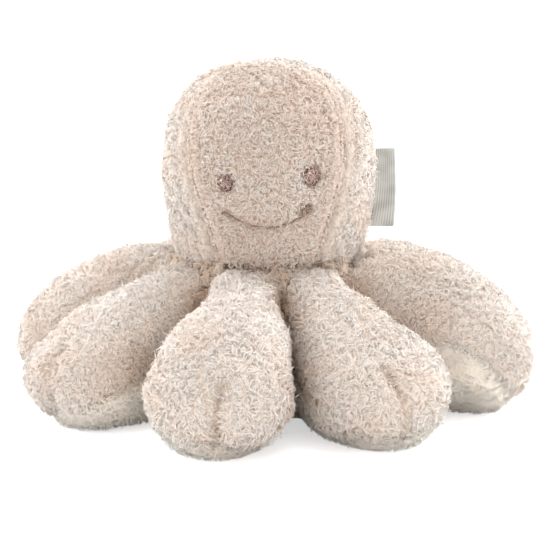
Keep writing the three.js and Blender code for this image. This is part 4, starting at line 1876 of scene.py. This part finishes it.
@dataclass
class Studio:
    """A white sweep, soft lights and the camera at the photograph's angle.

    Each lamp has a name, its place and its size in metres, and its power in watts.
    """

    target: Place = (3.4, 0.0, 62.3)
    lit: Place = (0.0, 0.0, 70.0)
    elevation: float = 11.0
    distance: float = 833.0
    focal: float = 1666.0
    image: float = 550.0
    sensor: float = 36.0
    floor_size: float = 60000.0
    world_strength: float = 1.03
    floor_glow: float = 0.55
    lamps: tuple[tuple[str, Place, float, float], ...] = (
        ("top_light", (0.2, 0.25, 1.3), 1.2, 11.5),
        ("left_light", (-1.1, 0.35, 0.5), 0.9, 8.5),
        ("right_light", (1.1, 0.35, 0.5), 0.9, 9.3),
        ("front_light", (-0.2, -1.6, 0.15), 1.0, 0.5),
    )

    def camera(self) -> None:
        """Places the camera."""
        tilt = math.radians(self.elevation)
        data = bpy.data.cameras.new("camera")
        data.sensor_width = self.sensor
        data.lens = self.focal / self.image * self.sensor
        data.clip_end = 100.0
        eye = bpy.data.objects.new("camera", data)
        back = Vector((0, -math.cos(tilt), math.sin(tilt))) * self.distance
        eye.location = (Vector(self.target) + back) * MM
        eye.rotation_euler = (math.pi / 2 - tilt, 0, 0)
        bpy.context.scene.collection.objects.link(eye)
        bpy.context.scene.camera = eye

    def lamp(self, name: str, place: Place, size: float, power: float) -> None:
        """Adds a square soft light that points at the toy."""
        data = bpy.data.lights.new(name, "AREA")
        data.shape = "SQUARE"
        data.size = size
        data.energy = power
        lamp = bpy.data.objects.new(name, data)
        lamp.location = Vector(place)
        toward = Vector(self.lit) * MM - lamp.location
        lamp.rotation_euler = toward.to_track_quat("-Z", "Y").to_euler()
        bpy.context.scene.collection.objects.link(lamp)

    def world(self) -> None:
        """Lights the toy from all round, and shows white behind it."""
        world = bpy.data.worlds.new("studio")
        world.use_nodes = True
        tree = world.node_tree
        tree.nodes.clear()
        path = add_node(tree, "ShaderNodeLightPath").outputs
        seen = path["Is Camera Ray"]
        for other in ("Is Glossy Ray", "Is Transmission Ray"):
            links = {0: seen, 1: path[other]}
            seen = add_node(tree, "ShaderNodeMath", links, operation="MAXIMUM").outputs[0]
        links = {"Value": seen, "To Min": self.world_strength, "To Max": 1.0}
        level = add_node(tree, "ShaderNodeMapRange", links).outputs[0]
        light = add_node(tree, "ShaderNodeBackground", {"Color": colour("#ffffff"), "Strength": level})
        add_node(tree, "ShaderNodeOutputWorld", {"Surface": light.outputs[0]})
        bpy.context.scene.world = world

    def floor(self) -> None:
        """Lays a white floor that keeps the toy's shadow."""
        deselect_all()
        bpy.ops.mesh.primitive_plane_add(size=self.floor_size * MM)
        floor = bpy.context.object
        floor.name = "floor"
        material = bpy.data.materials.new("white_sweep")
        material.use_nodes = True
        tree = material.node_tree
        tree.nodes.clear()
        path = add_node(tree, "ShaderNodeLightPath")
        matt = add_node(tree, "ShaderNodeBsdfDiffuse", {"Color": colour("#ffffff")})
        links = {"Color": colour("#ffffff"), "Strength": self.floor_glow}
        glow = add_node(tree, "ShaderNodeEmission", links)
        both = add_node(tree, "ShaderNodeAddShader", {0: matt.outputs[0], 1: glow.outputs[0]})
        seen = add_node(
            tree,
            "ShaderNodeMixShader",
            {"Fac": path.outputs["Is Camera Ray"], 1: matt.outputs[0], 2: both.outputs[0]},
        )
        add_node(tree, "ShaderNodeOutputMaterial", {"Surface": seen.outputs[0]})
        floor.data.materials.append(material)

    def build(self) -> None:
        """Sets up the camera, the lights and the floor."""
        self.camera()
        self.world()
        for lamp in self.lamps:
            self.lamp(*lamp)
        self.floor()
        bpy.context.scene.view_settings.view_transform = "Standard"


def main() -> None:
    """Builds the toy and its studio."""
    logging.basicConfig(level=logging.INFO, format="%(name)s: %(message)s")
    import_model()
    fleece = TeddyFleece("teddy_fleece")
    # The face's fleece is the body's fleece made darker: painted shade on the face panel.
    face_fleece = TeddyFleece(
        "shaded_face_teddy_fleece",
        deep="#ae825e",
        root="#c49c7c",
        middle="#e8d8cb",
        tip="#fdf4ec",
        fibre_spread=0.08,
        middle_at=0.36,
        tip_at=0.85,
    )
    velour = Velour("cream_velour")
    head = Head()
    pieces = head.build(fleece, face_fleece)
    backing, pile = fleece.backing(), fleece.pile()
    nap = TeddyFleece(
        "velour_nap",
        deep="#f0dbc1",
        root="#f0dbc1",
        middle="#fbf2e7",
        tip="#fdf8f1",
        blush="#fbf1e3",
        fibre_spread=0.04,
    ).pile()
    sole = velour.material()
    for number, lie in enumerate(LIES):
        pieces += Leg(lie, number).build((backing, pile), (sole, nap))
    pieces += Base().build(backing, pile, sole)
    pieces += FaceStitching(head.face).build(
        Embroidery("eye_cotton", "#573f36", "#ccafa4"),
        Embroidery("glint_cotton", "#d8ccc6", "#efe8e3"),
        Embroidery("smile_cotton", "#74604f", "#b8a293"),
    )
    pieces.append(Label().build(SatinRibbon("satin_ribbon")))
    for piece in pieces:
        LOG.info("%s: %d faces", piece.name, len(piece.data.polygons))
    Studio().build()


if __name__ == "__main__":
    main()
